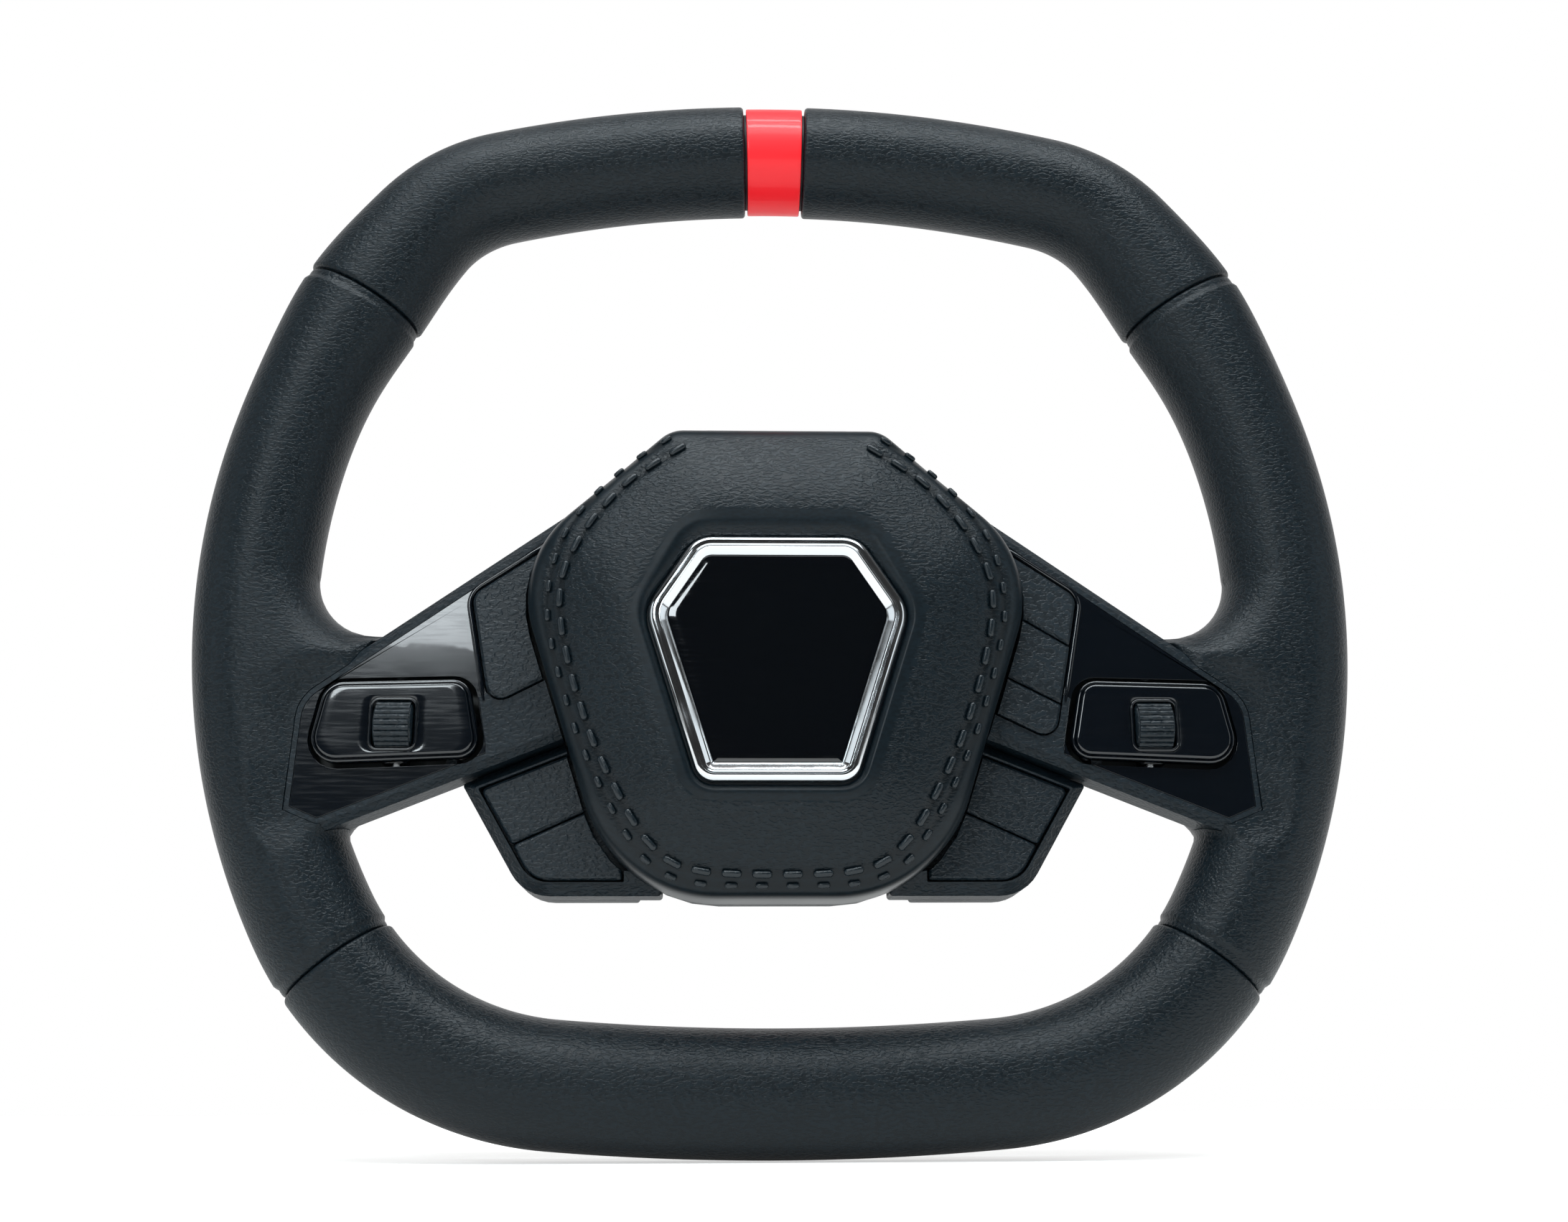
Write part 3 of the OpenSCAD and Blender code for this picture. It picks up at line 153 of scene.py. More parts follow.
class WheelStudio(bpy.types.PropertyGroup):
    lens: FloatProperty(name="Lens", description="Focal length of the camera", default=39.07, min=10, max=200,
                        unit="CAMERA")
    eye: point("Camera Place", "Where the camera stands", (-0.0112, -0.5312, -0.1212))
    aim: point("Camera Aim", "What the camera looks at", (0.0029, -0.031, 0.0204))
    roll: FloatProperty(name="Camera Roll", description="Turn of the camera about its own axis",
                        default=math.radians(-0.24), subtype="ANGLE", unit="ROTATION")
    key: watts("Key Lamp", "Power of the soft lamp over the camera", 6.0)
    side: watts("Side Lamp", "Power of the soft lamp on the left", 1.7)
    floor: length("Floor Height", "Height of the floor, which the wheel stands on",
                  CAD_BOX[0][2] - 0.0003, -1.0)


# ---------------------------------------------------------------- the rim's centre line and section

# Headings where the arcs of the right half meet, in degrees clockwise from 12 o'clock; the radii of three of
# the arcs, the height of the top and half the width
HEAD = [0.0, 13.5, 51.8, 117.9, 175.2, 180.0]
TOP_R, CORNER_R, HEEL_R, TOP_Z, HALF_W = 378.0, 46.0, 87.5, 174.0, 157.0
# Half width and half depth of the grips' section, its swell at the upper seams and the run of that swell
RIM_HALF_W, RIM_HALF_D, SWELL, SWELL_RUN = 18.0, 17.0, 2.2, 24.0
# A side grip's root: its start and end past the widest place, the run of both ends, reach and squareness
ROOT_FROM, ROOT_TO, BLEND_UP, BLEND_LOW, ROOT_REACH, ROOT_SQUARE = 12.0, 66.0, 20.0, 14.0, 38.0, 0.45
# The seams' places along the rim, half the centre band's length and the gap beside it
SEAM_UP, SEAM_LOW, BAND_HALF, BAND_GAP = 150.0, 368.0, 8.8, 0.9
# A spoke: start and fall, in degrees, of its upper and of its lower edge, and the grip's gap to the upper one
SPOKE_TOP, SPOKE_FALL, SPOKE_LOW_Z, SPOKE_LOW_FALL, SPOKE_GAP = (30.0, 70.0), 35.5, 3.0, 21.8, 0.6
# Centre and radius of the fillet between the right grip's inner edge and the spoke's upper edge
FILLET_AT, FILLET_R = (119.0, 31.1), 20.0


def sin(a):
    return math.sin(math.radians(a))


def cos(a):
    return math.cos(math.radians(a))


def tan(a):
    return math.tan(math.radians(a))


SIDE_R = (HALF_W - TOP_R * sin(HEAD[1]) - CORNER_R * (sin(HEAD[2]) - sin(HEAD[1]))) / (1 - sin(HEAD[2]))
ARC_R = [TOP_R, CORNER_R, SIDE_R, HEEL_R]
ARC_X, ARC_Z, ARC_S = [0.0], [TOP_Z], [0.0]
for i in range(5):
    if i == 4:
        ARC_R.append(ARC_X[4] / sin(HEAD[4]))
    ARC_X.append(ARC_X[i] + ARC_R[i] * (sin(HEAD[i + 1]) - sin(HEAD[i])))
    ARC_Z.append(ARC_Z[i] - ARC_R[i] * (cos(HEAD[i]) - cos(HEAD[i + 1])))
    ARC_S.append(ARC_S[i] + ARC_R[i] * math.radians(HEAD[i + 1] - HEAD[i]))
HALF_LEN = ARC_S[5]
WIDEST = ARC_S[2] + SIDE_R * math.radians(90 - HEAD[2])
ROOT_UP, ROOT_LOW = WIDEST + ROOT_FROM, WIDEST + ROOT_TO


def line_at(s):
    """[x, z, heading] of the rim's centre line, s millimetres clockwise from 12 o'clock."""
    if s < 0:
        x, z, h = line_at(-s)
        return -x, z, 360 - h
    if s > HALF_LEN:
        x, z, h = line_at(2 * HALF_LEN - s)
        return -x, z, 360 - h
    i = next((k for k in range(4) if s <= ARC_S[k + 1]), 4)
    h = HEAD[i] + math.degrees((s - ARC_S[i]) / ARC_R[i])
    return (ARC_X[i] + ARC_R[i] * (sin(h) - sin(HEAD[i])), ARC_Z[i] - ARC_R[i] * (cos(HEAD[i]) - cos(h)), h)


def smooth(t):
    """An eased step from 0 to 1, for a number or an array."""
    t = np.clip(t, 0.0, 1.0)
    return t * t * (3 - 2 * t)


def from_top(s):
    """Distance along the rim to 12 o'clock, the shorter way round."""
    return min(abs(s), 2 * HALF_LEN - abs(s))


def root_at(s):
    """Share of the root in a side grip's section at s."""
    t = from_top(s)
    return min(smooth((t - ROOT_UP + BLEND_UP) / BLEND_UP), smooth((ROOT_LOW + BLEND_LOW - t) / BLEND_LOW))


def fillet_reach(x, z, h):
    """How far in from the rim's line a side grip reaches over the spoke: to the fillet between the two, and
    below the fillet to the spoke's upper edge."""
    reach = (x - FILLET_AT[0]) / sin(h)
    in_fillet = FILLET_AT[1] - z + reach * cos(h) < FILLET_R
    for _ in range(20):
        height = z - reach * cos(h)
        if in_fillet:
            drop = min(FILLET_R, max(0.0, FILLET_AT[1] - height))
            edge = FILLET_AT[0] + math.sqrt(FILLET_R ** 2 - drop ** 2)
        else:
            out = (SPOKE_TOP[1] - height) / tan(SPOKE_FALL)
            edge = min(HALF_W - ROOT_REACH, SPOKE_TOP[0] + SPOKE_GAP + out)
        reach = 0.5 * reach + 0.5 * (x - edge) / sin(h)
    return reach


def rim_ring(s, cut_by, n):
    """Points round the rim's section at s, cut_by millimetres under the grip's surface."""
    x, z, h = line_at(s)
    out = RIM_HALF_W + SWELL * math.exp(-((from_top(s) - SEAM_UP) / SWELL_RUN) ** 2) - cut_by
    root = root_at(s)
    inner = out + root * (ROOT_REACH - RIM_HALF_W)
    over_spoke = SEAM_UP < s < (ROOT_UP + ROOT_LOW) / 2
    if over_spoke:
        inner = max(out, fillet_reach(x, z, h) - cut_by)
    ring = []
    for i in range(n):
        c, q = cos(360 * i / n), sin(360 * i / n)
        p = 1 if c > 0 else 1 - ROOT_SQUARE * root
        r = out * c if c > 0 else -inner * abs(c) ** p
        d = (RIM_HALF_D - cut_by) * math.copysign(abs(q) ** p, q)
        px, pz = x + r * sin(h), z + r * cos(h)
        if over_spoke and c < 0 and pz < FILLET_AT[1]:
            off = min(RIM_HALF_D, max(0.0, math.dist((px, pz), FILLET_AT) - FILLET_R))
            d = math.copysign(min(abs(d), math.sqrt(RIM_HALF_D ** 2 - (RIM_HALF_D - off) ** 2)), q)
        ring.append((px, d - Y_REF, pz))
    return ring


def bore_ring(s, n, r=6.5):
    """Points round the channel of the armature's rod."""
    x, z, h = line_at(s)
    turns = [360 * i / n for i in range(n)]
    return [(x + r * cos(a) * sin(h), r * sin(a) - Y_REF, z + r * cos(a) * cos(h)) for a in turns]


# ---------------------------------------------------------------- outlines

# [x, z] corners and their radii, in millimetres

def unit(v):
    n = math.hypot(*v)
    return (v[0] / n, v[1] / n)


def inset(c, d):
    """Corners moved d inwards along both edges of a counter-clockwise outline."""
    out = []
    for i, p in enumerate(c):
        a, b = c[i - 1], c[(i + 1) % len(c)]
        u, v = unit((p[0] - a[0], p[1] - a[1])), unit((b[0] - p[0], b[1] - p[1]))
        k = d / (1 + u[0] * v[0] + u[1] * v[1])
        out.append((p[0] - (u[1] + v[1]) * k, p[1] + (u[0] + v[0]) * k))
    return out


def rounded(c, r, turn=10, run=1):
    """Outline with rounded corners: turn steps in each corner and run steps along each edge."""
    arcs = []
    for i, p in enumerate(c):
        a, b = c[i - 1], c[(i + 1) % len(c)]
        u, v = unit((a[0] - p[0], a[1] - p[1])), unit((b[0] - p[0], b[1] - p[1]))
        w = math.acos(max(-1, min(1, u[0] * v[0] + u[1] * v[1])))
        m = unit((u[0] + v[0], u[1] + v[1]))
        o = (p[0] + m[0] * r[i] / math.sin(w / 2), p[1] + m[1] * r[i] / math.sin(w / 2))
        k = r[i] / math.tan(w / 2)
        g = math.atan2(p[1] + u[1] * k - o[1], p[0] + u[0] * k - o[0])
        t = math.atan2(p[1] + v[1] * k - o[1], p[0] + v[0] * k - o[0]) - g
        t = (t + math.pi) % (2 * math.pi) - math.pi
        arcs.append([(o[0] + r[i] * math.cos(g + t * j / turn), o[1] + r[i] * math.sin(g + t * j / turn))
                     for j in range(turn + 1)])
    out = []
    for i, arc in enumerate(arcs):
        nxt = arcs[(i + 1) % len(arcs)][0]
        out += arc
        out += [(arc[-1][0] + (nxt[0] - arc[-1][0]) * j / run, arc[-1][1] + (nxt[1] - arc[-1][1]) * j / run)
                for j in range(1, run)]
    return out


def outline(c, r, d=0.0, turn=10, run=1):
    return rounded(inset(c, d), [max(0.4, q - d) for q in r], turn, run)


def level(points, y):
    """An outline placed at y, measured back from the rim's centre plane."""
    return [(p[0], y - Y_REF, p[1]) for p in points]


def spoke_up(x):
    return SPOKE_TOP[1] - tan(SPOKE_FALL) * (x - SPOKE_TOP[0])


def spoke_low(x):
    return SPOKE_LOW_Z - tan(SPOKE_LOW_FALL) * x


# Depth of the spokes' front face; then corners and radii of the right spoke's frame, the horn pad, the badge
# place and the right rocker
FACE_Y = -14.0
FRAME_C = [(30, spoke_low(30)), (131, spoke_low(131)), (143, spoke_low(131) + 5), (141, spoke_up(141)),
           (30, 70)]
FRAME_R = [1, 5, 2, 14, 1]
PAD_C = [(-45.6, -69.2), (45.6, -69.2), (77.4, 28.7), (31.5, 70), (-31.5, 70), (-77.4, 28.7)]
PAD_R = [40, 40, 33, 10, 10, 33]
BADGE_C = [(-21.8, -38.9), (21.8, -38.9), (37.6, 10.5), (23.4, 32.2), (-23.4, 32.2), (-37.6, 10.5)]
BADGE_R = [6, 6, 11, 9, 9, 11]
ROCKER_C = [(83.2, -29.4), (137.4, -31.6), (131.8, -4.6), (88.2, -3.6)]
ROCKER_R = [7, 9, 8, 7]
# Middle of the right roller, and the outer corners of the bay that the right keys lie in
ROLLER_AT, ROLLER_Y = (110.4, -18.6), -12.336
BAY_TOP, BAY_LOW = (89.8, 20.8), (81.6, -22.8)


# ---------------------------------------------------------------- meshes

def body_name(node):
    """The body that a CAD node rides on."""
    return frame["nodes"][node]["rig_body"]


def shade(mesh, angle):
    mesh.shade_smooth()
    mesh.set_sharp_from_angle(angle=math.radians(angle))


def new_object(name, mesh):
    obj = bpy.data.objects.new(name, mesh)
    bpy.context.scene.collection.objects.link(obj)
    return obj


def from_bmesh(name, bm):
    """Object at the origin with the mesh that bm holds."""
    mesh = bpy.data.meshes.new(name)
    bm.to_mesh(mesh)
    bm.free()
    return new_object(name, mesh)


def mesh_object(name, points, faces, scale=MM):
    """Object at the origin from points in millimetres, its normals turned outwards."""
    bm = bmesh.new()
    verts = [bm.verts.new(Vector(p) * scale) for p in points]
    for f in faces:
        bm.faces.new([verts[i] for i in f])
    bmesh.ops.remove_doubles(bm, verts=bm.verts, dist=1e-6)
    bmesh.ops.recalc_face_normals(bm, faces=bm.faces)
    return from_bmesh(name, bm)


def points_of(mesh):
    """A mesh's points as an array, in metres."""
    co = np.empty(len(mesh.vertices) * 3)
    mesh.vertices.foreach_get("co", co)
    return co.reshape(-1, 3)


def tube(rings, closed=False):
    """Points and faces of a skin over rings of equal length: a ring of rings, or a run with closed ends."""
    n, m = len(rings[0]), len(rings)
    points = [p for r in rings for p in r]
    faces = [(j % m * n + i, j % m * n + (i + 1) % n, (j + 1) % m * n + (i + 1) % n, (j + 1) % m * n + i)
             for j in range(m if closed else m - 1) for i in range(n)]
    if not closed:
        faces += [tuple(range(n - 1, -1, -1)), tuple(range((m - 1) * n, m * n))]
    return points, faces


def turned(profile, at=(0.0, 0.0), n=96):
    """Points and faces of a closed profile of (radius, y) spun about a line along Y."""
    rings = [[(at[0] + r * cos(360 * i / n), y - Y_REF, at[1] + r * sin(360 * i / n)) for i in range(n)]
             for r, y in profile]
    return tube(rings, closed=True)


def joined(*parts):
    """One list of points and faces from several."""
    points, faces = [], []
    for p, f in parts:
        faces += [tuple(i + len(points) for i in q) for q in f]
        points += p
    return points, faces


def mirrored(part):
    points, faces = part
    return [(-x, y, z) for x, y, z in points], [tuple(reversed(f)) for f in faces]


def settled(obj):
    """Replaces obj's mesh with what its modifiers make of it, and takes them off."""
    graph = bpy.context.evaluated_depsgraph_get()
    mesh = bpy.data.meshes.new_from_object(obj.evaluated_get(graph), depsgraph=graph)
    obj.modifiers.clear()
    obj.data = mesh
    return obj


def cut(obj, points, faces):
    """Takes a closed tool solid out of obj."""
    tool = mesh_object("tool", points, faces)
    mod = obj.modifiers.new("Cut", "BOOLEAN")
    mod.object, mod.operation, mod.solver = tool, "DIFFERENCE", "EXACT"
    settled(obj)
    bpy.data.objects.remove(tool)


def moulded_copy(node, name, width, segments=2, moved=None):
    """A CAD node's shape: triangles merged to faces, points moved where asked, edges rounded."""
    bm = bmesh.new()
    bm.from_mesh(frame["nodes"][node].data)
    bmesh.ops.remove_doubles(bm, verts=bm.verts, dist=2e-6)
    bmesh.ops.dissolve_limit(bm, angle_limit=math.radians(1.5), verts=bm.verts, edges=bm.edges)
    for v in bm.verts if moved else ():
        v.co = Vector(moved(*(v.co / MM))) * MM
    obj = from_bmesh(name, bm)
    mod = obj.modifiers.new("Round", "BEVEL")
    mod.width, mod.segments, mod.limit_method = width, segments, "ANGLE"
    mod.angle_limit, mod.use_clamp_overlap, mod.miter_outer = math.radians(28), True, "MITER_ARC"
    settled(obj)
    shade(obj.data, 50)
    even = obj.modifiers.new("Even", "WEIGHTED_NORMAL")
    even.keep_sharp, even.weight = True, 80
    return settled(obj)


def dress(obj, finish, body, nodes=(), slot=None):
    """Gives a piece its finish, its body and the CAD nodes that it stands for."""
    material = made_material(finish)
    if material.name not in obj.data.materials:
        obj.data.materials.clear()
        obj.data.materials.append(material)
    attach(obj, body)
    if nodes:
        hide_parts(*nodes)


def moulded(node, name, finish, slot, width, segments=2, moved=None):
    """A piece with a CAD node's shape and rounded edges, which stands for that node."""
    dress(moulded_copy(node, name, width, segments, moved), finish, body_name(node), [node], slot)


def sprung(node, name):
    """A coil spring with its CAD node's shape, on a mesh of its own."""
    obj = new_object(name, frame["nodes"][node].data.copy())
    dress(obj, "spring_wire", "wheel", [node], "spring_steel")
    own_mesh(obj)


def paint(finish, *nodes):
    """A better material for CAD nodes whose shape stays."""
    for node in nodes:
        mesh = frame["nodes"][node].data
        mesh.materials.clear()
        mesh.materials.append(made_material(finish))


# ---------------------------------------------------------------- node trees

def add(tree, kind, inputs=None, out=0, **settings):
    """Adds a node and gives back one of its outputs, or the node itself where out is None. An input takes a
    value, or a link when it is given a socket."""
    node = tree.nodes.new(kind)
    for key, value in settings.items():
        setattr(node, key, value)
    for key, value in (inputs or {}).items():
        if isinstance(value, bpy.types.NodeSocket):
            tree.links.new(value, node.inputs[key])
        else:
            node.inputs[key].default_value = value
    return node if out is None else node.outputs[out]


def geometry_tree(name, geometry, inputs):
    """An empty geometry tree and its inputs: a geometry, a material and those named, with their defaults."""
    tree = bpy.data.node_groups.new(name, "GeometryNodeTree")
    tree.interface.new_socket("Geometry", in_out="OUTPUT", socket_type="NodeSocketGeometry")
    tree.interface.new_socket(geometry, in_out="INPUT", socket_type="NodeSocketGeometry")
    for label, value in inputs.items():
        kind = "Int" if isinstance(value, int) else "Vector" if isinstance(value, tuple) else "Float"
        socket = tree.interface.new_socket(label, in_out="INPUT", socket_type="NodeSocket" + kind)
        socket.default_value = value
        if kind == "Float":
            socket.subtype = "DISTANCE"
    tree.interface.new_socket("Material", in_out="INPUT", socket_type="NodeSocketMaterial")
    return tree, add(tree, "NodeGroupInput", out=None).outputs


def dressed_tree(tree, geometry, material):
    """Ends a geometry tree: the geometry in its material."""
    dressed = add(tree, "GeometryNodeSetMaterial", {"Geometry": geometry, "Material": material})
    add(tree, "NodeGroupOutput", {0: dressed}, None)
    return tree


def run_tree(obj, tree, values):
    """Puts a geometry tree on obj with the given inputs, and keeps the mesh that it makes."""
    mod = obj.modifiers.new(tree.name, "NODES")
    mod.node_group = tree
    for item in tree.interface.items_tree:
        if item.item_type == "SOCKET" and item.in_out == "INPUT" and item.name in values:
            mod[item.identifier] = values[item.name]
    settled(obj)


def stitch_tree():
    """Stitches at even steps along the edges of a mesh, lying on its 'up' attribute."""
    tree, given = geometry_tree("Stitch Row", "Path", {"Spacing": 0.0084, "Length": 0.0056, "Width": 0.0018,
                                                       "Height": 0.0014})
    path = add(tree, "GeometryNodeMeshToCurve", {"Mesh": given["Path"]})
    row = add(tree, "GeometryNodeResampleCurve", {"Curve": path, "Length": given["Spacing"]}, mode="LENGTH")
    align = "FunctionNodeAlignRotationToVector"
    along = add(tree, align, {"Vector": add(tree, "GeometryNodeInputTangent")}, axis="X")
    up = add(tree, "GeometryNodeInputNamedAttribute", {"Name": "up"}, data_type="FLOAT_VECTOR")
    lying = add(tree, align, {"Rotation": along, "Vector": up}, axis="Z", pivot_axis="X")
    ball = add(tree, "GeometryNodeMeshUVSphere", {"Segments": 14, "Rings": 8, "Radius": 0.5})
    size = add(tree, "ShaderNodeCombineXYZ", {"X": given["Width"], "Y": given["Width"], "Z": given["Height"]})
    bead = add(tree, "GeometryNodeTransform", {"Geometry": ball, "Scale": size})
    place = add(tree, "GeometryNodeInputPosition")
    across = add(tree, "ShaderNodeSeparateXYZ", {"Vector": place})
    side = add(tree, "ShaderNodeMath", {0: across}, operation="SIGN")
    spare = add(tree, "ShaderNodeMath", {0: given["Length"], 1: given["Width"]}, operation="SUBTRACT")
    reach = add(tree, "ShaderNodeMath", {0: side, 1: spare}, operation="MULTIPLY")
    half = add(tree, "ShaderNodeMath", {0: reach, 1: 0.5}, operation="MULTIPLY")
    move = add(tree, "ShaderNodeCombineXYZ", {"X": half})
    stitch = add(tree, "GeometryNodeSetPosition", {"Geometry": bead, "Offset": move})
    sewn = add(tree, "GeometryNodeInstanceOnPoints", {"Points": row, "Instance": stitch, "Rotation": lying})
    soft = add(tree, "GeometryNodeSetShadeSmooth", {"Geometry": sewn})
    real = add(tree, "GeometryNodeRealizeInstances", {"Geometry": soft})
    return dressed_tree(tree, real, given["Material"])


def ridge_tree():
    """Half-round ridges in a ring about an axis, joined to the core they stand on."""
    tree, given = geometry_tree("Ridge Ring", "Core", {
        "Count": 28, "Radius": 0.008, "Ridge Radius": 0.0005, "Ridge Length": 0.01, "Centre": (0, 0, 0),
        "Turn": (0, 0, 0)})
    ring = add(tree, "GeometryNodeMeshCircle", {"Vertices": given["Count"], "Radius": given["Radius"]})
    rod = add(tree, "GeometryNodeMeshCylinder", {"Vertices": 10, "Radius": given["Ridge Radius"],
                                                 "Depth": given["Ridge Length"]}, fill_type="TRIANGLE_FAN")
    rods = add(tree, "GeometryNodeInstanceOnPoints", {"Points": ring, "Instance": rod})
    real = add(tree, "GeometryNodeRealizeInstances", {"Geometry": rods})
    turn = add(tree, "FunctionNodeEulerToRotation", {"Euler": given["Turn"]})
    placed = add(tree, "GeometryNodeTransform", {"Geometry": real, "Translation": given["Centre"],
                                                 "Rotation": turn})
    both = add(tree, "GeometryNodeJoinGeometry", out=None)
    for part in (given["Core"], placed):
        tree.links.new(part, both.inputs[0])
    return dressed_tree(tree, both.outputs[0], given["Material"])


# ---------------------------------------------------------------- materials

def sizes():
    return bpy.context.scene.wheel_sizes


def colours():
    return bpy.context.scene.wheel_colours


def shader(name, tint, rough, metal=0.0, coat=0.0, specular=0.5):
    """A material with one Principled shader; returns it with its tree, shader and object coordinates."""
    material = bpy.data.materials.new(name)
    material.use_nodes = True
    tree = material.node_tree
    tree.nodes.clear()
    surface = add(tree, "ShaderNodeBsdfPrincipled", {
        "Base Color": tint, "Roughness": rough, "Metallic": metal, "Coat Weight": coat,
        "Specular IOR Level": specular}, None)
    add(tree, "ShaderNodeOutputMaterial", {"Surface": surface.outputs[0]}, None)
    return material, tree, surface, add(tree, "ShaderNodeTexCoord", out="Object")


def shifted(tint, k):
    """A colour k times as bright."""
    return tuple(min(1.0, c * k) for c in tint[:3]) + (1.0,)


# The inputs of a range: what varies, from between these two, to between those two
RANGE = ("Value", "From Min", "From Max", "To Min", "To Max")


def toothed(tree, surface, place, scale, detail, strength, distance, normal="Normal"):
    """Roughens a surface with noise that rises up to the distance, and gives back the noise."""
    tooth = add(tree, "ShaderNodeTexNoise", {"Vector": place, "Scale": scale, "Detail": detail}, "Fac")
    bump = add(tree, "ShaderNodeBump", {"Strength": strength, "Distance": distance, "Height": tooth})
    tree.links.new(bump, surface.inputs[normal])
    return tooth


def mottled(tree, surface, place, scale, detail, tints, roughs=None):
    """Soft patches between two tints, and between two roughnesses where a range of the patches is given."""
    patches = add(tree, "ShaderNodeTexNoise", {"Vector": place, "Scale": scale, "Detail": detail}, "Fac")
    tone = add(tree, "ShaderNodeMix", {"Factor": patches, 6: tints[0], 7: tints[1]}, 2, data_type="RGBA")
    tree.links.new(tone, surface.inputs["Base Color"])
    if roughs:
        gloss = add(tree, "ShaderNodeMapRange", dict(zip(RANGE, (patches, *roughs))))
        tree.links.new(gloss, surface.inputs["Roughness"])


def grained(name, tint, rough, pitch, depth, stretch=1.0, light=1.6, specular=0.5, marked=False):
    """Moulded plastic with wrinkled grain: folds of one pitch and a fine tooth on them. Its tone runs from
    0.8 of the tint up to light times it on the ridges, in patches: a painted highlight where ridges catch
    light.
    Where it is marked, the grain leaves bare parts and the channels are darkened with painted shade."""
    material, tree, surface, place = shader(name, tint, rough, specular=specular)
    drawn = add(tree, "ShaderNodeMapping", {"Vector": place, "Scale": (stretch, 1.0, 1.0)})
    folds = add(tree, "ShaderNodeTexNoise", {"Vector": drawn, "Scale": 0.8 / pitch, "Detail": 1.0,
                                             "Distortion": 0.35}, "Fac")
    ridge = add(tree, "ShaderNodeMapRange", dict(zip(RANGE, (folds, 0.38, 0.62, 0.0, 1.0))),
                interpolation_type="SMOOTHSTEP")
    tooth = add(tree, "ShaderNodeTexNoise", {"Vector": place, "Scale": 2.6 / pitch, "Detail": 1.0}, "Fac")
    tall = add(tree, "ShaderNodeMath", {0: tooth, 1: 0.35, 2: ridge}, operation="MULTIPLY_ADD")
    patches = add(tree, "ShaderNodeTexNoise", {"Vector": place, "Scale": 14.0, "Detail": 2.0}, "Fac")
    # Paler ridges in patches: painted highlight, where the grain's ridges catch light
    painted_ridge_highlight = add(tree, "ShaderNodeMath", {0: ridge, 1: patches}, operation="MULTIPLY")
    tone = add(tree, "ShaderNodeMix", {"Factor": painted_ridge_highlight, 6: shifted(tint, 0.8), 7: shifted(tint, light)}, 2,
               data_type="RGBA")
    if marked:
        bare, channel = (add(tree, "ShaderNodeAttribute", out="Fac", attribute_name=key) for key in MARKS)
        share = add(tree, "ShaderNodeMath", {0: 1.0, 1: bare}, operation="SUBTRACT")
        tall = add(tree, "ShaderNodeMath", {0: tall, 1: share}, operation="MULTIPLY")
        # Painted shade: the tone is darkened along the stitch channels
        tone = add(tree, "ShaderNodeMix", {"Factor": channel, 6: tone, 7: shifted(tint, 0.55)}, 2,
                   data_type="RGBA")
    bump = add(tree, "ShaderNodeBump", {"Strength": 1.0, "Distance": depth, "Height": tall})
    gloss = add(tree, "ShaderNodeMapRange", dict(zip(RANGE, (patches, 0.3, 0.7, rough - 0.05, rough + 0.06))))
    for made, label in ((bump, "Normal"), (tone, "Base Color"), (gloss, "Roughness")):
        tree.links.new(made, surface.inputs[label])
    return material


def leather(name, rough, marked=False):
    """The grips' leather grain, drawn out across the wheel."""
    return grained(name, colours().grip, rough, sizes().grain_pitch, sizes().grain_depth, 0.45, 1.7, 0.28,
                   marked)


def glossy(name, tint, rough, coat):
    """Lacquered plastic: a faint waviness in the lacquer and a few soft hairline marks."""
    material, tree, surface, place = shader(name, tint, rough, coat=coat)
    surface.inputs["Coat Roughness"].default_value = 0.02
    toothed(tree, surface, place, 160.0, 1.0, 0.6, 0.00002, "Coat Normal")
    drawn = add(tree, "ShaderNodeMapping", {"Vector": place, "Scale": (30.0, 30.0, 400.0)})
    hairs = add(tree, "ShaderNodeTexNoise", {"Vector": drawn, "Scale": 3.0, "Detail": 3.0}, "Fac")
    gloss = add(tree, "ShaderNodeMapRange", dict(zip(RANGE, (hairs, 0.45, 0.8, rough, rough + 0.12))))
    tree.links.new(gloss, surface.inputs["Roughness"])
    mottled(tree, surface, place, 25.0, 1.0, (shifted(tint, 0.94), shifted(tint, 1.06)))
    return material


def machined(name, tint, rough, pitch=0.00025, lines=0.000012, spread=0.1):
    """Turned metal: fine tool lines round the steering axis, coarser than a real 0.1 mm feed to be seen."""
    material, tree, surface, place = shader(name, tint, rough, metal=1.0)
    wave = {"Vector": place, "Scale": 0.05 / pitch}
    feed = add(tree, "ShaderNodeTexWave", {**wave, "Distortion": 0.4, "Detail": 1.0, "Detail Scale": 2.0},
               "Fac", wave_type="RINGS", rings_direction="Y")
    bands = add(tree, "ShaderNodeTexWave", {**wave, "Distortion": 0.2}, "Fac", wave_type="BANDS",
                bands_direction="Y")
    lathe = add(tree, "ShaderNodeMath", {0: feed, 1: bands}, operation="ADD")
    bump = add(tree, "ShaderNodeBump", {"Strength": 0.7, "Distance": lines, "Height": lathe})
    tree.links.new(bump, surface.inputs["Normal"])
    mottled(tree, surface, place, 60.0, 3.0, (shifted(tint, 0.92), shifted(tint, 1.06)),
            (0.3, 0.75, rough, rough + spread))
    return material


def plated(name):
    """Chrome with the slight unevenness of a plated moulding."""
    material, tree, surface, place = shader(name, colours().trim, 0.07, metal=1.0)
    uneven = toothed(tree, surface, place, 90.0, 2.0, 0.5, 0.00006)
    gloss = add(tree, "ShaderNodeMapRange", dict(zip(RANGE, (uneven, 0.35, 0.8, 0.05, 0.2))))
    tree.links.new(gloss, surface.inputs["Roughness"])
    return material


def cast(name):
    """Metal with a sandy cast skin and faint stains."""
    material, tree, surface, place = shader(name, srgb("#8d9093"), 0.55, metal=1.0)
    toothed(tree, surface, place, 1600.0, 3.0, 0.8, 0.00005)
    mottled(tree, surface, place, 30.0, 4.0, (srgb("#76797c"), srgb("#a3a6a9")))
    return material


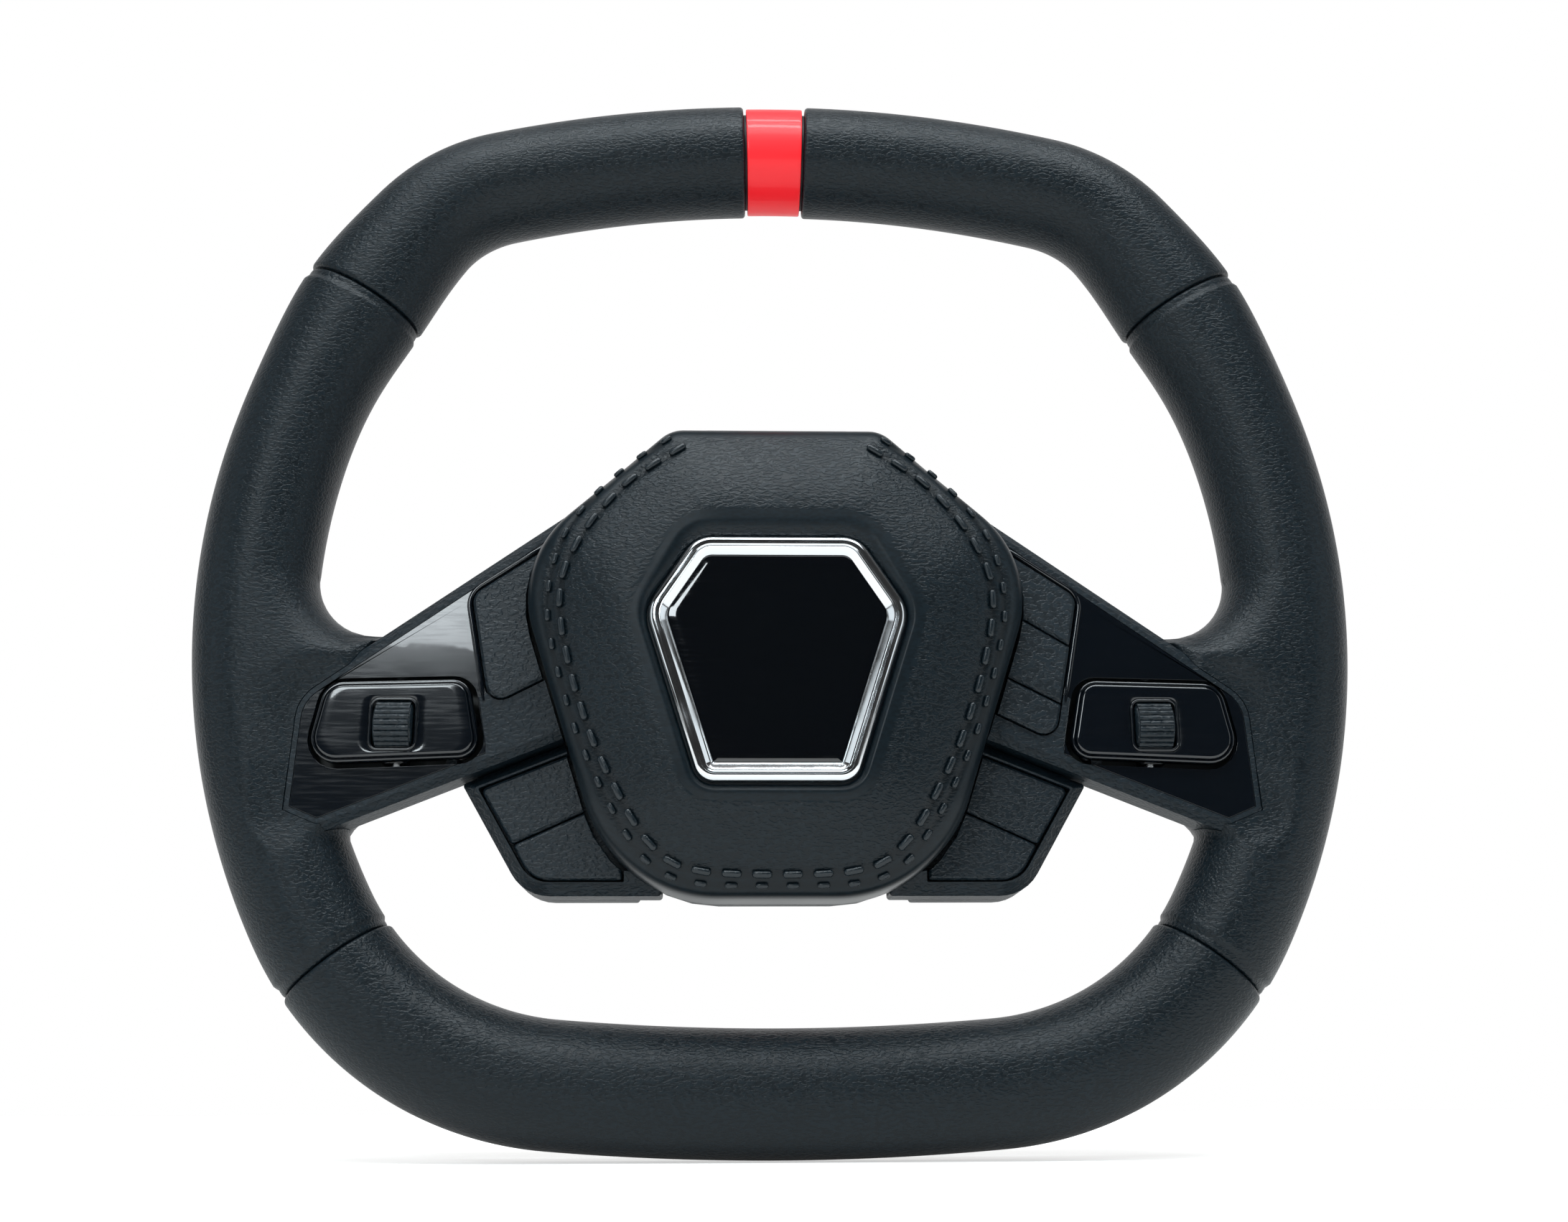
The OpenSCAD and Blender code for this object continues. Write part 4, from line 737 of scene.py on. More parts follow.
def etched_board(name):
    """Solder mask with the raised pattern of the tracks below it."""
    material, tree, surface, place = shader(name, srgb("#0d1110"), 0.4)
    tracks = add(tree, "ShaderNodeTexBrick", {
        "Vector": place, "Scale": 160.0, "Mortar Size": 0.06, "Color1": srgb("#0c100f"),
        "Color2": srgb("#101513"), "Mortar": srgb("#1b2220")}, None).outputs
    tree.links.new(tracks["Color"], surface.inputs["Base Color"])
    bump = add(tree, "ShaderNodeBump", {"Strength": 0.5, "Distance": 0.00004, "Height": tracks["Fac"]})
    tree.links.new(bump, surface.inputs["Normal"])
    return material


def clouded(name):
    """Rubber with a faint cloudiness."""
    material, tree, surface, place = shader(name, srgb("#3a3d40"), 0.42)
    mottled(tree, surface, place, 300.0, 2.0, (srgb("#34373a"), srgb("#43464a")))
    return material


FINISHES = {
    # Polyurethane skin-moulded over the rim in one leather grain: satin, with wrinkles across the wheel
    "polyurethane_leather_grain": lambda name: leather(name, 0.37),
    # The pad's skin: the grips' grain, which fades out in the smooth channels and the side band; painted
    # shade darkens the channels
    "pad_leather_grain": lambda name: leather(name, 0.36, True),
    # The moulded stitches: the same skin without grain, painted paler than the skin and paler still on the
    # ridges, as a painted highlight
    "polyurethane_stitch": lambda name: grained(name, shifted(colours().grip, 1.3), 0.32, 0.0005, 0.00002,
                                                light=1.3),
    # ABS moulded in an etched tool: a tight, dull leather grain
    "abs_etched_grain": lambda name: grained(name, colours().shell, 0.45, 0.0009, 0.0001, 0.6, specular=0.32),
    # Soft-touch lacquer over ABS keys: the same grain, a little finer and darker
    "soft_touch_keys": lambda name: grained(name, colours().shell, 0.4, 0.0008, 0.0001, 0.6, specular=0.4),
    # ABS moulded without grain, for inside faces: plain, dull, with faint flow marks
    "abs_plain": lambda name: grained(name, shifted(colours().shell, 0.8), 0.55, 0.002, 0.00002, light=1.1),
    # The badge place: a black lens, flat and perfectly glossy
    "badge_gloss_face": lambda name: glossy(name, shifted(colours().gloss, 0.5), 0.05, 1.0),
    # Piano-black acrylic: near black under a clear, hard gloss
    "piano_black_acrylic": lambda name: glossy(name, colours().gloss, 0.12, 0.6),
    # Red lacquered ABS: a clean red under clear coat
    "red_lacquered_abs": lambda name: glossy(name, colours().band, 0.45, 0.22),
    # Chrome plating on ABS: mirror bright
    "chrome_plated_abs": plated,
    # 6061 aluminium, turned and clear anodised: pale grey with a satin lathe finish
    "clear_anodised_aluminium": lambda name: machined(name, colours().alloy, 0.3),
    # 6061 aluminium, turned and red anodised: deep metallic red
    "red_anodised_aluminium": lambda name: machined(name, colours().collar, 0.27),
    # Case-hardened steel with black oxide: nearly black, oily sheen
    "black_oxide_steel": lambda name: machined(name, srgb("#2b2c2e"), 0.36, 0.0004, 0.00001),
    # Cold-drawn spring wire: bright grey
    "spring_wire": lambda name: machined(name, srgb("#a9abad"), 0.28, 0.0005, 0.000006),
    # Ground pins and axles
    "ground_steel": lambda name: machined(name, srgb("#b9bbbd"), 0.2, 0.0003, 0.000004),
    # Polished bearing balls
    "bearing_steel": lambda name: machined(name, srgb("#c8cacc"), 0.08, 0.002, 0.000001, 0.03),
    # Die-cast magnesium: pale grey and dull
    "cast_magnesium": cast,
    # Glass-filled epoxy board: black solder mask over copper tracks
    "circuit_board": etched_board,
    # Moulded silicone: smoky grey, with a soft sheen
    "moulded_silicone": clouded,
}
# The pad's mesh attributes that its skin reads: where it is bare of grain, and the painted shade of its
# channels
MARKS = ("bare", "channel")


def made_material(name):
    """The finish with this name, made the first time that it is asked for."""
    return bpy.data.materials.get(name) or FINISHES[name](name)


# ---------------------------------------------------------------- the horn pad's surface

def eased(table, x):
    """Smooth, never overshooting value between the (x, value) pairs of a rising table."""
    if x <= table[0][0]:
        return table[0][1]
    if x >= table[-1][0]:
        return table[-1][1]
    i = next(k for k in range(len(table) - 1) if x <= table[k + 1][0])
    slope = [(b[1] - a[1]) / (b[0] - a[0]) for a, b in zip(table, table[1:])]

    def at(k):
        if k == 0 or k == len(slope):
            return slope[min(k, len(slope) - 1)]
        a, b = slope[k - 1], slope[k]
        return 2 * a * b / (a + b) if a * b > 0 else 0.0

    h = table[i + 1][0] - table[i][0]
    t = (x - table[i][0]) / h
    return ((1 + 2 * t) * (1 - t) ** 2 * table[i][1] + t * t * (3 - 2 * t) * table[i + 1][1]
            + h * t * (1 - t) ** 2 * at(i) - h * t * t * (1 - t) * at(i + 1))


# Share of the pad's rise at distances in from its edge, and the depths of its shoulder, back and recess
PAD_STEPS = [(0, 0), (0.4, 0.14), (1.6, 0.29), (3.6, 0.40), (6.5, 0.50), (11, 0.62), (17, 0.76), (23, 0.88),
             (29, 0.96), (45, 0.975)]
PAD_SHOULDER_Y, PAD_RISE, PAD_BACK_Y, RECESS_Y = -22.0, 16.0, -8.0, -35.0
# The eased steps at every TABLE_STEP millimetres in from the pad's edge
TABLE_STEP, TABLE_END = 0.05, 900
PAD_TABLE = np.array([eased(PAD_STEPS, k * TABLE_STEP) for k in range(TABLE_END + 1)])
# The stitch rows' right halves
INNER_ROW = [(29.1, 61), (36.2, 56.5), (43.6, 51.1), (50, 43.9), (54.7, 37.2), (58.5, 30), (61.4, 22.4),
             (62.2, 14.6), (61.4, 6.4), (59.6, -2), (57.3, -10.5), (54.5, -18.7), (51.6, -26.3), (48, -34),
             (44, -41.5), (39.8, -49), (34.9, -55.3), (28.4, -60.4), (20.3, -62.6), (12.3, -63.2), (4, -63.4)]
OUTER_ROW = [(32.6, 64.9), (40, 60.4), (47.4, 54.6), (53.9, 47.2), (58.9, 39.9), (62.6, 32.5), (65.2, 21.9),
             (65.8, 11.9), (64.6, 3.7), (62.6, -4.7), (60, -13.2), (57.2, -21.7), (53.8, -29.7),
             (50.1, -37.5), (46.2, -45), (41.8, -52.3), (36.7, -59), (29.9, -63.6), (21.5, -65.7),
             (13.5, -66.2), (5.2, -66.3)]


def flowing(points, step=0.5):
    """Even points along a smooth curve through the given ones and their mirror images, right side first."""
    c = points + [(-x, z) for x, z in reversed(points)]
    dense = []
    for i in range(len(c) - 1):
        a, b, d, e = c[max(i - 1, 0)], c[i], c[i + 1], c[min(i + 2, len(c) - 1)]
        for k in range(16):
            t = k / 16
            dense.append(tuple(0.5 * (2 * q + (r - p) * t + (2 * p - 5 * q + 4 * r - s) * t * t
                                      + (3 * q - p - 3 * r + s) * t ** 3) for p, q, r, s in zip(a, b, d, e)))
    dense.append(c[-1])
    run = np.concatenate([[0], np.cumsum([math.dist(a, b) for a, b in zip(dense, dense[1:])])])
    at = np.linspace(0, run[-1], int(run[-1] / step) + 1)
    return np.stack([np.interp(at, run, [p[k] for p in dense]) for k in (0, 1)], 1)


def gap_to(points, line, closed=False):
    """Distance from each point to a line of points."""
    a = np.asarray(line, float)
    b = np.roll(a, -1, 0) if closed else a[1:]
    a = a if closed else a[:-1]
    d = b - a
    size = np.maximum((d * d).sum(1), 1e-12)
    best = np.full(len(points), 1e9)
    for k in range(0, len(points), 4000):
        p = points[k:k + 4000, None, :]
        t = np.clip(((p - a) * d).sum(2) / size, 0, 1)
        best[k:k + 4000] = np.sqrt(((p - a - t[..., None] * d) ** 2).sum(2)).min(1)
    return best


def rise_at(d):
    """Rise of the pad's skin over its shoulder, d millimetres in from its edge."""
    return PAD_RISE * PAD_TABLE[np.clip((d / TABLE_STEP).round().astype(int), 0, TABLE_END)]


PAD_EDGE = np.array(outline(PAD_C, PAD_R, 0.0, 24))
ROWS = (flowing(INNER_ROW), flowing(OUTER_ROW))
# Depth of the rows' channels as a share of the seam depth, and half their width
ROW_DEPTH, ROW_SPREAD = (1.0, 0.85), (1.6, 1.3)
# The crown's grid: its lowest x and z, its step and the reach of its blur
GRID_LOW, GRID_STEP, BLUR = np.array([-80.0, -74.0]), 0.5, 4.2
# The middle that rays to the pad's outlines start from
PAD_CENTRE = (0.0, -3.0)


def crown():
    """Rise of the pad's skin over its shoulder on an even grid: it follows the distance from the pad's edge,
    and the mitre lines of its corners are blurred away further in."""
    x, z = (np.arange(low, -low + 0.01, GRID_STEP) for low in GRID_LOW)
    grid = np.stack(np.meshgrid(x, z, indexing="ij"), -1)
    flat = grid.reshape(-1, 2)
    turn = np.arctan2(PAD_EDGE[:, 1], PAD_EDGE[:, 0])
    order = np.argsort(turn)
    limit = np.interp(np.arctan2(flat[:, 1], flat[:, 0]), turn[order], np.hypot(*PAD_EDGE[order].T),
                      period=2 * math.pi)
    d = np.where(np.hypot(*flat.T) < limit, gap_to(flat, PAD_EDGE, True), 0.0).reshape(grid.shape[:2])
    sharp = soft = rise_at(d)
    bell = np.exp(-(np.arange(-3 * BLUR, 3 * BLUR + 0.01, GRID_STEP) / BLUR) ** 2 / 2)
    for axis in (0, 1):
        soft = np.apply_along_axis(np.convolve, axis, soft, bell / bell.sum(), "same")
    return sharp + (soft - sharp) * smooth((d - 3) / 12)


CROWN = crown()
RECESS_LIP = outline([(x + math.copysign(1, x), z + 3) if z > 20 else (x, z) for x, z in BADGE_C],
                     BADGE_R, -2.6, 16)


def pad_levels(xz, channels=True):
    """Height of the pad's skin, as y from the rim's centre plane, at each (x, z)."""
    d = gap_to(xz, PAD_EDGE, True)
    at = (np.asarray(xz) - GRID_LOW) / GRID_STEP
    cell = np.floor(at).astype(int)
    u, v = (at - cell).T
    i, j = cell.T
    grid = (CROWN[i, j] * (1 - u) * (1 - v) + CROWN[i + 1, j] * u * (1 - v) + CROWN[i, j + 1] * (1 - u) * v
            + CROWN[i + 1, j + 1] * u * v)
    share = np.clip((d - 2) / 2, 0, 1)
    y = PAD_SHOULDER_Y - rise_at(d) * (1 - share) - grid * share
    if channels:
        for row, deep, wide in zip(ROWS, ROW_DEPTH, ROW_SPREAD):
            y = y + sizes().seam_depth / MM * deep * np.exp(-(gap_to(xz, row) / wide) ** 2)
    return y


def beyond(points, shape):
    """How far points lie outside a convex outline, and 0 inside it."""
    a = np.array(shape)
    run = np.roll(a, -1, 0) - a
    out = np.stack([run[:, 1], -run[:, 0]], 1) / np.hypot(*run.T)[:, None]
    return np.maximum(0.0, ((points[:, None, :] - a) * out).sum(2).max(1))


def ray_out(shape, angle, centre=PAD_CENTRE):
    """Point where a ray from the centre crosses an outline."""
    u = (cos(angle), sin(angle))
    for a, b in zip(shape, list(shape[1:]) + [shape[0]]):
        ax, az, bx, bz = a[0] - centre[0], a[1] - centre[1], b[0] - centre[0], b[1] - centre[1]
        across = (bx - ax) * u[1] - (bz - az) * u[0]
        if abs(across) < 1e-12:
            continue
        t = (az * u[0] - ax * u[1]) / across
        far = (ax + (bx - ax) * t) * u[0] + (az + (bz - az) * t) * u[1]
        if -1e-9 <= t <= 1 + 1e-9 and far > 0:
            return np.array([centre[0] + far * u[0], centre[1] + far * u[1]])
    raise ValueError("the outline has a gap")


# ---------------------------------------------------------------- operators

SIDES = (("left", -1), ("right", 1))


class WheelStep(bpy.types.Operator):
    """One step of the build, which can be undone"""
    bl_options = {"REGISTER", "UNDO"}


class WHEEL_OT_studio(WheelStep):
    """Camera, soft lamps, white surroundings and a pale floor"""
    bl_idname = "wheel.studio"
    bl_label = "Studio"
    COOL_WHITE = (0.88, 0.96, 1.0)
    # Name, place, aim, size, the power that it follows and its share of that
    LAMPS = (("strip_front", (0, -0.6, 1.05), (0, -0.06, 0.1), (1.3, 0.12), "key", 1.15),
             ("strip_back", (0, -0.3, 1.12), (0, -0.05, 0.1), (1.3, 0.07), "key", 0.7),
             ("soft_top", (0, -0.9, 1.15), (0, -0.03, 0.05), (1.6, 0.5), "key", 1.0),
             ("window", (-0.47, -1.4, 0.52), (-0.1, 0, 0.03), (0.36, 0.3), "side", 2.2),
             ("soft_left", (-1.3, -0.55, 0.35), (0, 0, 0.03), (0.6, 0.9), "side", 1.0),
             ("soft_right", (1.3, -0.55, 0.35), (0, 0, 0.03), (0.6, 0.9), "side", 1.0))
    # Light from all round on matt surfaces, what the floor sends to the camera, and the mirrors' share of it
    ROOM_LIGHT, FLOOR_WHITE, MIRROR_SHARE = 0.55, 0.5, 0.15
    FLOOR_HALF = 1.1
    # Where the room grows lighter towards the back (Y) and overhead (Z), and from what to what
    BEHIND, ABOVE = (-0.1, 0.75, 0.03, 1.0), (0.55, 1.0, 0.0, 0.3)

    def aimed(self, name, data, place, aim):
        obj = new_object(name, data)
        obj.location = place
        look = (Vector(aim) - Vector(place)).to_track_quat("-Z", "Y")
        obj.rotation_euler = look.to_euler()
        return obj, look

    def surroundings(self, context):
        """White for the camera, glass and what lies behind the wheel; for reflections, a dim room behind the
        camera."""
        world = bpy.data.worlds.new("white_room")
        world.use_nodes = True
        tree = world.node_tree
        tree.nodes.clear()
        ray = add(tree, "ShaderNodeLightPath", out=None).outputs
        way = add(tree, "ShaderNodeTexCoord", out="Generated")
        part = add(tree, "ShaderNodeSeparateXYZ", {"Vector": way}, None).outputs
        behind, above = (add(tree, "ShaderNodeMapRange", dict(zip(RANGE, (part[axis], *ends))),
                             interpolation_type="SMOOTHSTEP")
                         for axis, ends in (("Y", self.BEHIND), ("Z", self.ABOVE)))
        room = add(tree, "ShaderNodeMath", {0: behind, 1: above}, operation="MAXIMUM")
        lit = add(tree, "ShaderNodeMix", {"Factor": ray["Is Glossy Ray"], 2: self.ROOM_LIGHT, 3: room},
                  data_type="FLOAT")
        clear = add(tree, "ShaderNodeMath", {0: ray["Is Camera Ray"], 1: ray["Is Transmission Ray"]},
                    operation="MAXIMUM")
        strength = add(tree, "ShaderNodeMix", {"Factor": clear, 2: lit, 3: 1.0}, data_type="FLOAT")
        sky = add(tree, "ShaderNodeBackground", {"Color": (1, 1, 1, 1), "Strength": strength})
        add(tree, "ShaderNodeOutputWorld", {"Surface": sky}, None)
        context.scene.world = world

    def floor(self, z):
        h = self.FLOOR_HALF
        floor = mesh_object("floor", [(-h, -h, z), (h, -h, z), (h, h, z), (-h, h, z)], [(0, 1, 2, 3)], 1.0)
        paper, tree, surface, place = shader("matt_paper", srgb("#f4f4f2"), 0.9)
        toothed(tree, surface, place, 600.0, 2.0, 0.3, 0.0001)
        ray = add(tree, "ShaderNodeLightPath", out=None).outputs
        mirrors = add(tree, "ShaderNodeMath", {0: ray["Is Glossy Ray"], 1: ray["Is Transmission Ray"]},
                      operation="MAXIMUM")
        dimmer = add(tree, "ShaderNodeMath", {0: mirrors, 1: self.MIRROR_SHARE}, operation="MULTIPLY")
        seen = add(tree, "ShaderNodeMath", {0: ray["Is Camera Ray"], 1: dimmer}, operation="MAXIMUM")
        white = add(tree, "ShaderNodeMath", {0: seen, 1: self.FLOOR_WHITE}, operation="MULTIPLY")
        tree.links.new(white, surface.inputs["Emission Strength"])
        floor.data.materials.append(paper)

    def execute(self, context):
        studio = context.scene.wheel_studio
        context.scene.view_settings.view_transform = "Standard"
        data = bpy.data.cameras.new("camera")
        data.lens, data.sensor_width, data.clip_start, data.clip_end = studio.lens, 36, 0.01, 50
        camera, look = self.aimed("camera", data, studio.eye, studio.aim)
        camera.rotation_euler = (look.to_matrix() @ Matrix.Rotation(studio.roll, 3, "Z")).to_euler()
        context.scene.camera = camera
        self.surroundings(context)
        for name, place, aim, size, power, share in self.LAMPS:
            data = bpy.data.lights.new(name, "AREA")
            data.shape, data.color, data.energy = "RECTANGLE", self.COOL_WHITE, getattr(studio, power) * share
            data.size, data.size_y = size
            self.aimed(name, data, place, aim)
        self.floor(studio.floor)
        return {"FINISHED"}


class WHEEL_OT_grips(WheelStep):
    """The five moulded grips, with rounded ends at the seams and pockets for the spokes"""
    bl_idname = "wheel.grips"
    bl_label = "Grips"
    RING = 72
    NEAR_END = (0.0, 0.06, 0.18, 0.36, 0.6, 0.9, 1.3, 1.9, 2.6, 3.3, 4.0, 4.6, 5.2, 5.8, 6.6)
    # Half the gap at a seam, and the rounded ends at the band and at the seams
    SEAM_HALF, BAND_END_R, SEAM_END_R = 0.15, 1.1, 1.2
    # The strip beside a side grip's seam: how far it lies sunk, its width and the width of its slope
    STRIP_SUNK, STRIP_WIDE, STRIP_SLOPE = 0.75, 2.6, 1.3
    # The pocket for the spoke, and how the skin's front comes down to the spoke's face around it
    POCKET_IN, LEVEL_GAP, LEVEL_DROP, LEVEL_RUN = 2.0, 0.12, 3.2, 14.0

    def stations(self, a, b, step):
        start, stop = a + self.NEAR_END[-1], b - self.NEAR_END[-1]
        n = math.ceil((stop - start) / step)
        return ([a + d for d in self.NEAR_END[:-1]] + [start + (stop - start) * k / n for k in range(n + 1)]
                + [b - d for d in reversed(self.NEAR_END[:-1])])

    def finer(self, stations):
        """Four times as many stations where the fillet over the spoke turns."""
        out = []
        for a, b in zip(stations, stations[1:]):
            turns = a < HALF_LEN / 2 and FILLET_AT[1] - FILLET_R - 6 < line_at(a)[1] < FILLET_AT[1] - 4
            share = 4 if turns else 1
            out += [a + (b - a) * k / share for k in range(share)]
        return out + [stations[-1]]

    def sunk(self, d, round_r, strip):
        """How far the skin lies under the full section, d millimetres from an end."""
        t = max(0.0, 1 - d / round_r)
        out_of_strip = smooth((d - self.STRIP_WIDE) / self.STRIP_SLOPE)
        return round_r * (1 - math.sqrt(1 - t * t)) + strip * (1 - out_of_strip)

    def skin(self, a, b, start_r, strip=0.0, step=1.9):
        outer = [rim_ring(s, self.sunk(s - a, start_r, strip) + self.sunk(b - s, self.SEAM_END_R, strip),
                          self.RING) for s in self.finer(self.stations(a, b, step))]
        n = math.ceil((b - a) / 7)
        bore = [bore_ring(b + (a - b) * k / n, self.RING) for k in range(n + 1)]
        return tube(outer + bore, closed=True)

    def level_off(self, mesh):
        """Brings the front of a side grip down to the spoke's face where it meets the shell."""
        co = points_of(mesh)
        xz = co[:, (0, 2)] / MM
        xz[:, 0] = np.abs(xz[:, 0])
        t = smooth(beyond(xz, outline(FRAME_C, FRAME_R, self.POCKET_IN, 12)) / self.LEVEL_RUN)
        co[:, 1] = np.maximum(co[:, 1], (FACE_Y - Y_REF - self.LEVEL_GAP - self.LEVEL_DROP * t) * MM)
        mesh.vertices.foreach_set("co", co.ravel())

    def execute(self, context):
        gap, end = self.SEAM_HALF, self.SEAM_END_R
        upper = self.skin(BAND_HALF + BAND_GAP, SEAM_UP - gap, self.BAND_END_R)
        side = self.skin(SEAM_UP + gap, SEAM_LOW - gap, end, self.STRIP_SUNK, 2.0)
        bottom = self.skin(SEAM_LOW + gap, 2 * HALF_LEN - SEAM_LOW - gap, end)
        pocket = tube([level(outline(FRAME_C, FRAME_R, d, 12), y) for d, y in (
            (self.POCKET_IN, -27), (self.POCKET_IN, FACE_Y), (-0.15, FACE_Y + 2.15), (-0.15, -0.6))])
        for node, part, tool in (
                ("grip_top_right", upper, None), ("grip_top_left", mirrored(upper), None),
                ("grip_right", side, pocket), ("grip_left", mirrored(side), mirrored(pocket)),
                ("grip_bottom", bottom, None)):
            grip = mesh_object(node + "_skin", *part)
            if tool:
                self.level_off(grip.data)
                cut(grip, *tool)
            shade(grip.data, 50)
            dress(grip, "polyurethane_leather_grain", "wheel", [node], "moulded_grip")
        return {"FINISHED"}


class WHEEL_OT_centre_band(WheelStep):
    """The lacquered band at 12 o'clock, with small rounded edges, and the necks beside it"""
    bl_idname = "wheel.centre_band"
    bl_label = "Centre Band"
    RING, SUNK, EDGE_R, NECK_BORE_R = 96, 0.7, 0.4, 6.6

    def execute(self, context):
        ends = (0.0, 0.08, 0.2, self.EDGE_R)
        s = ([-BAND_HALF + d for d in ends] + [BAND_HALF * k / 8 for k in range(-7, 8)]
             + [BAND_HALF - d for d in reversed(ends)])
        rings = []
        for t in s:
            off = max(0.0, self.EDGE_R - (BAND_HALF - abs(t)))
            rings.append(rim_ring(t, self.SUNK + off ** 2 / (2 * self.EDGE_R), self.RING))
        bore = [bore_ring(t, self.RING) for t in (BAND_HALF, 0.0, -BAND_HALF)]
        band = mesh_object("centre_band_shell", *tube(rings + bore, closed=True))
        shade(band.data, 50)
        dress(band, "red_lacquered_abs", "wheel", ["centre_band"], "red_band")
        for side, k in SIDES:
            outer = [rim_ring(k * (BAND_HALF + d), under, self.RING)
                     for d, under in ((-0.5, 2.5), (0.72, 2.5), (0.78, 2.6))]
            inner = [bore_ring(k * (BAND_HALF + d), self.RING, self.NECK_BORE_R) for d in (0.78, -0.5)]
            neck = mesh_object("band_neck_" + side, *tube(outer + inner, closed=True))
            shade(neck.data, 50)
            dress(neck, "abs_plain", "wheel", slot="frame_plastic")
        return {"FINISHED"}


class WHEEL_OT_spoke_shells(WheelStep):
    """The grained frames of the two spokes"""
    bl_idname = "wheel.spoke_shells"
    bl_label = "Spoke Shells"

    def execute(self, context):
        for side, _ in SIDES:
            moulded("spoke_frame_" + side, "spoke_shell_" + side, "abs_etched_grain", "frame_plastic",
                    sizes().edge_round * 1.3)
        return {"FINISHED"}


class WHEEL_OT_gloss_inserts(WheelStep):
    """The gloss inserts of the spokes"""
    bl_idname = "wheel.gloss_inserts"
    bl_label = "Gloss Inserts"
    # The rolled edge: its radius, its way out from the bay of the keys, its lower and inner end, and its bend
    BEAD_R, BEAD_OUT, BEAD_LOW, BEAD_IN, BEND_R = 0.75, 1.3, -11, 68, 7.1

    def execute(self, context):
        for side, k in SIDES:
            moulded("gloss_insert_" + side, "gloss_panel_" + side, "piano_black_acrylic", "gloss_black",
                    sizes().edge_round * 1.5, 3)
            part = self.bead()
            bead = mesh_object("gloss_bead_" + side, *(mirrored(part) if k < 0 else part))
            shade(bead.data, 60)
            dress(bead, "piano_black_acrylic", "wheel", slot="gloss_black")
        return {"FINISHED"}

    def bead(self):
        """The rolled edge of the insert round the outer side of the keys and over the upper one."""
        out, foot = self.BEAD_OUT, self.BEAD_LOW
        lean = (BAY_TOP[0] - BAY_LOW[0]) / (BAY_TOP[1] - BAY_LOW[1])
        low = (BAY_TOP[0] + lean * (foot - BAY_TOP[1]), foot)
        far = (self.BEAD_IN, BAY_TOP[1] + (BAY_TOP[0] - self.BEAD_IN) * tan(34))
        a, p, b = inset([(60, foot), low, BAY_TOP, far], -out)[1:]
        a = (a[0] + lean * out, a[1] + out)
        bend = rounded([a, p, b], [0.1, self.BEND_R, 0.1], 12)[13:26]
        line = ([tuple(u + (v - u) * k / 12 for u, v in zip(a, bend[0])) for k in range(12)] + bend
                + [tuple(u + (v - u) * k / 8 for u, v in zip(bend[-1], b)) for k in range(1, 9)])
        rings = []
        for i, p in enumerate(line):
            a, b = line[max(i - 1, 0)], line[min(i + 1, len(line) - 1)]
            u = unit((b[0] - a[0], b[1] - a[1]))
            thick = self.BEAD_R * min(1.0, 0.4 + 0.3 * min(i, len(line) - 1 - i))
            rings.append([(p[0] + thick * cos(30 * k) * u[1], FACE_Y + thick * 0.9 * sin(30 * k) - Y_REF,
                           p[1] - thick * cos(30 * k) * u[0]) for k in range(12)])
        return tube(rings)


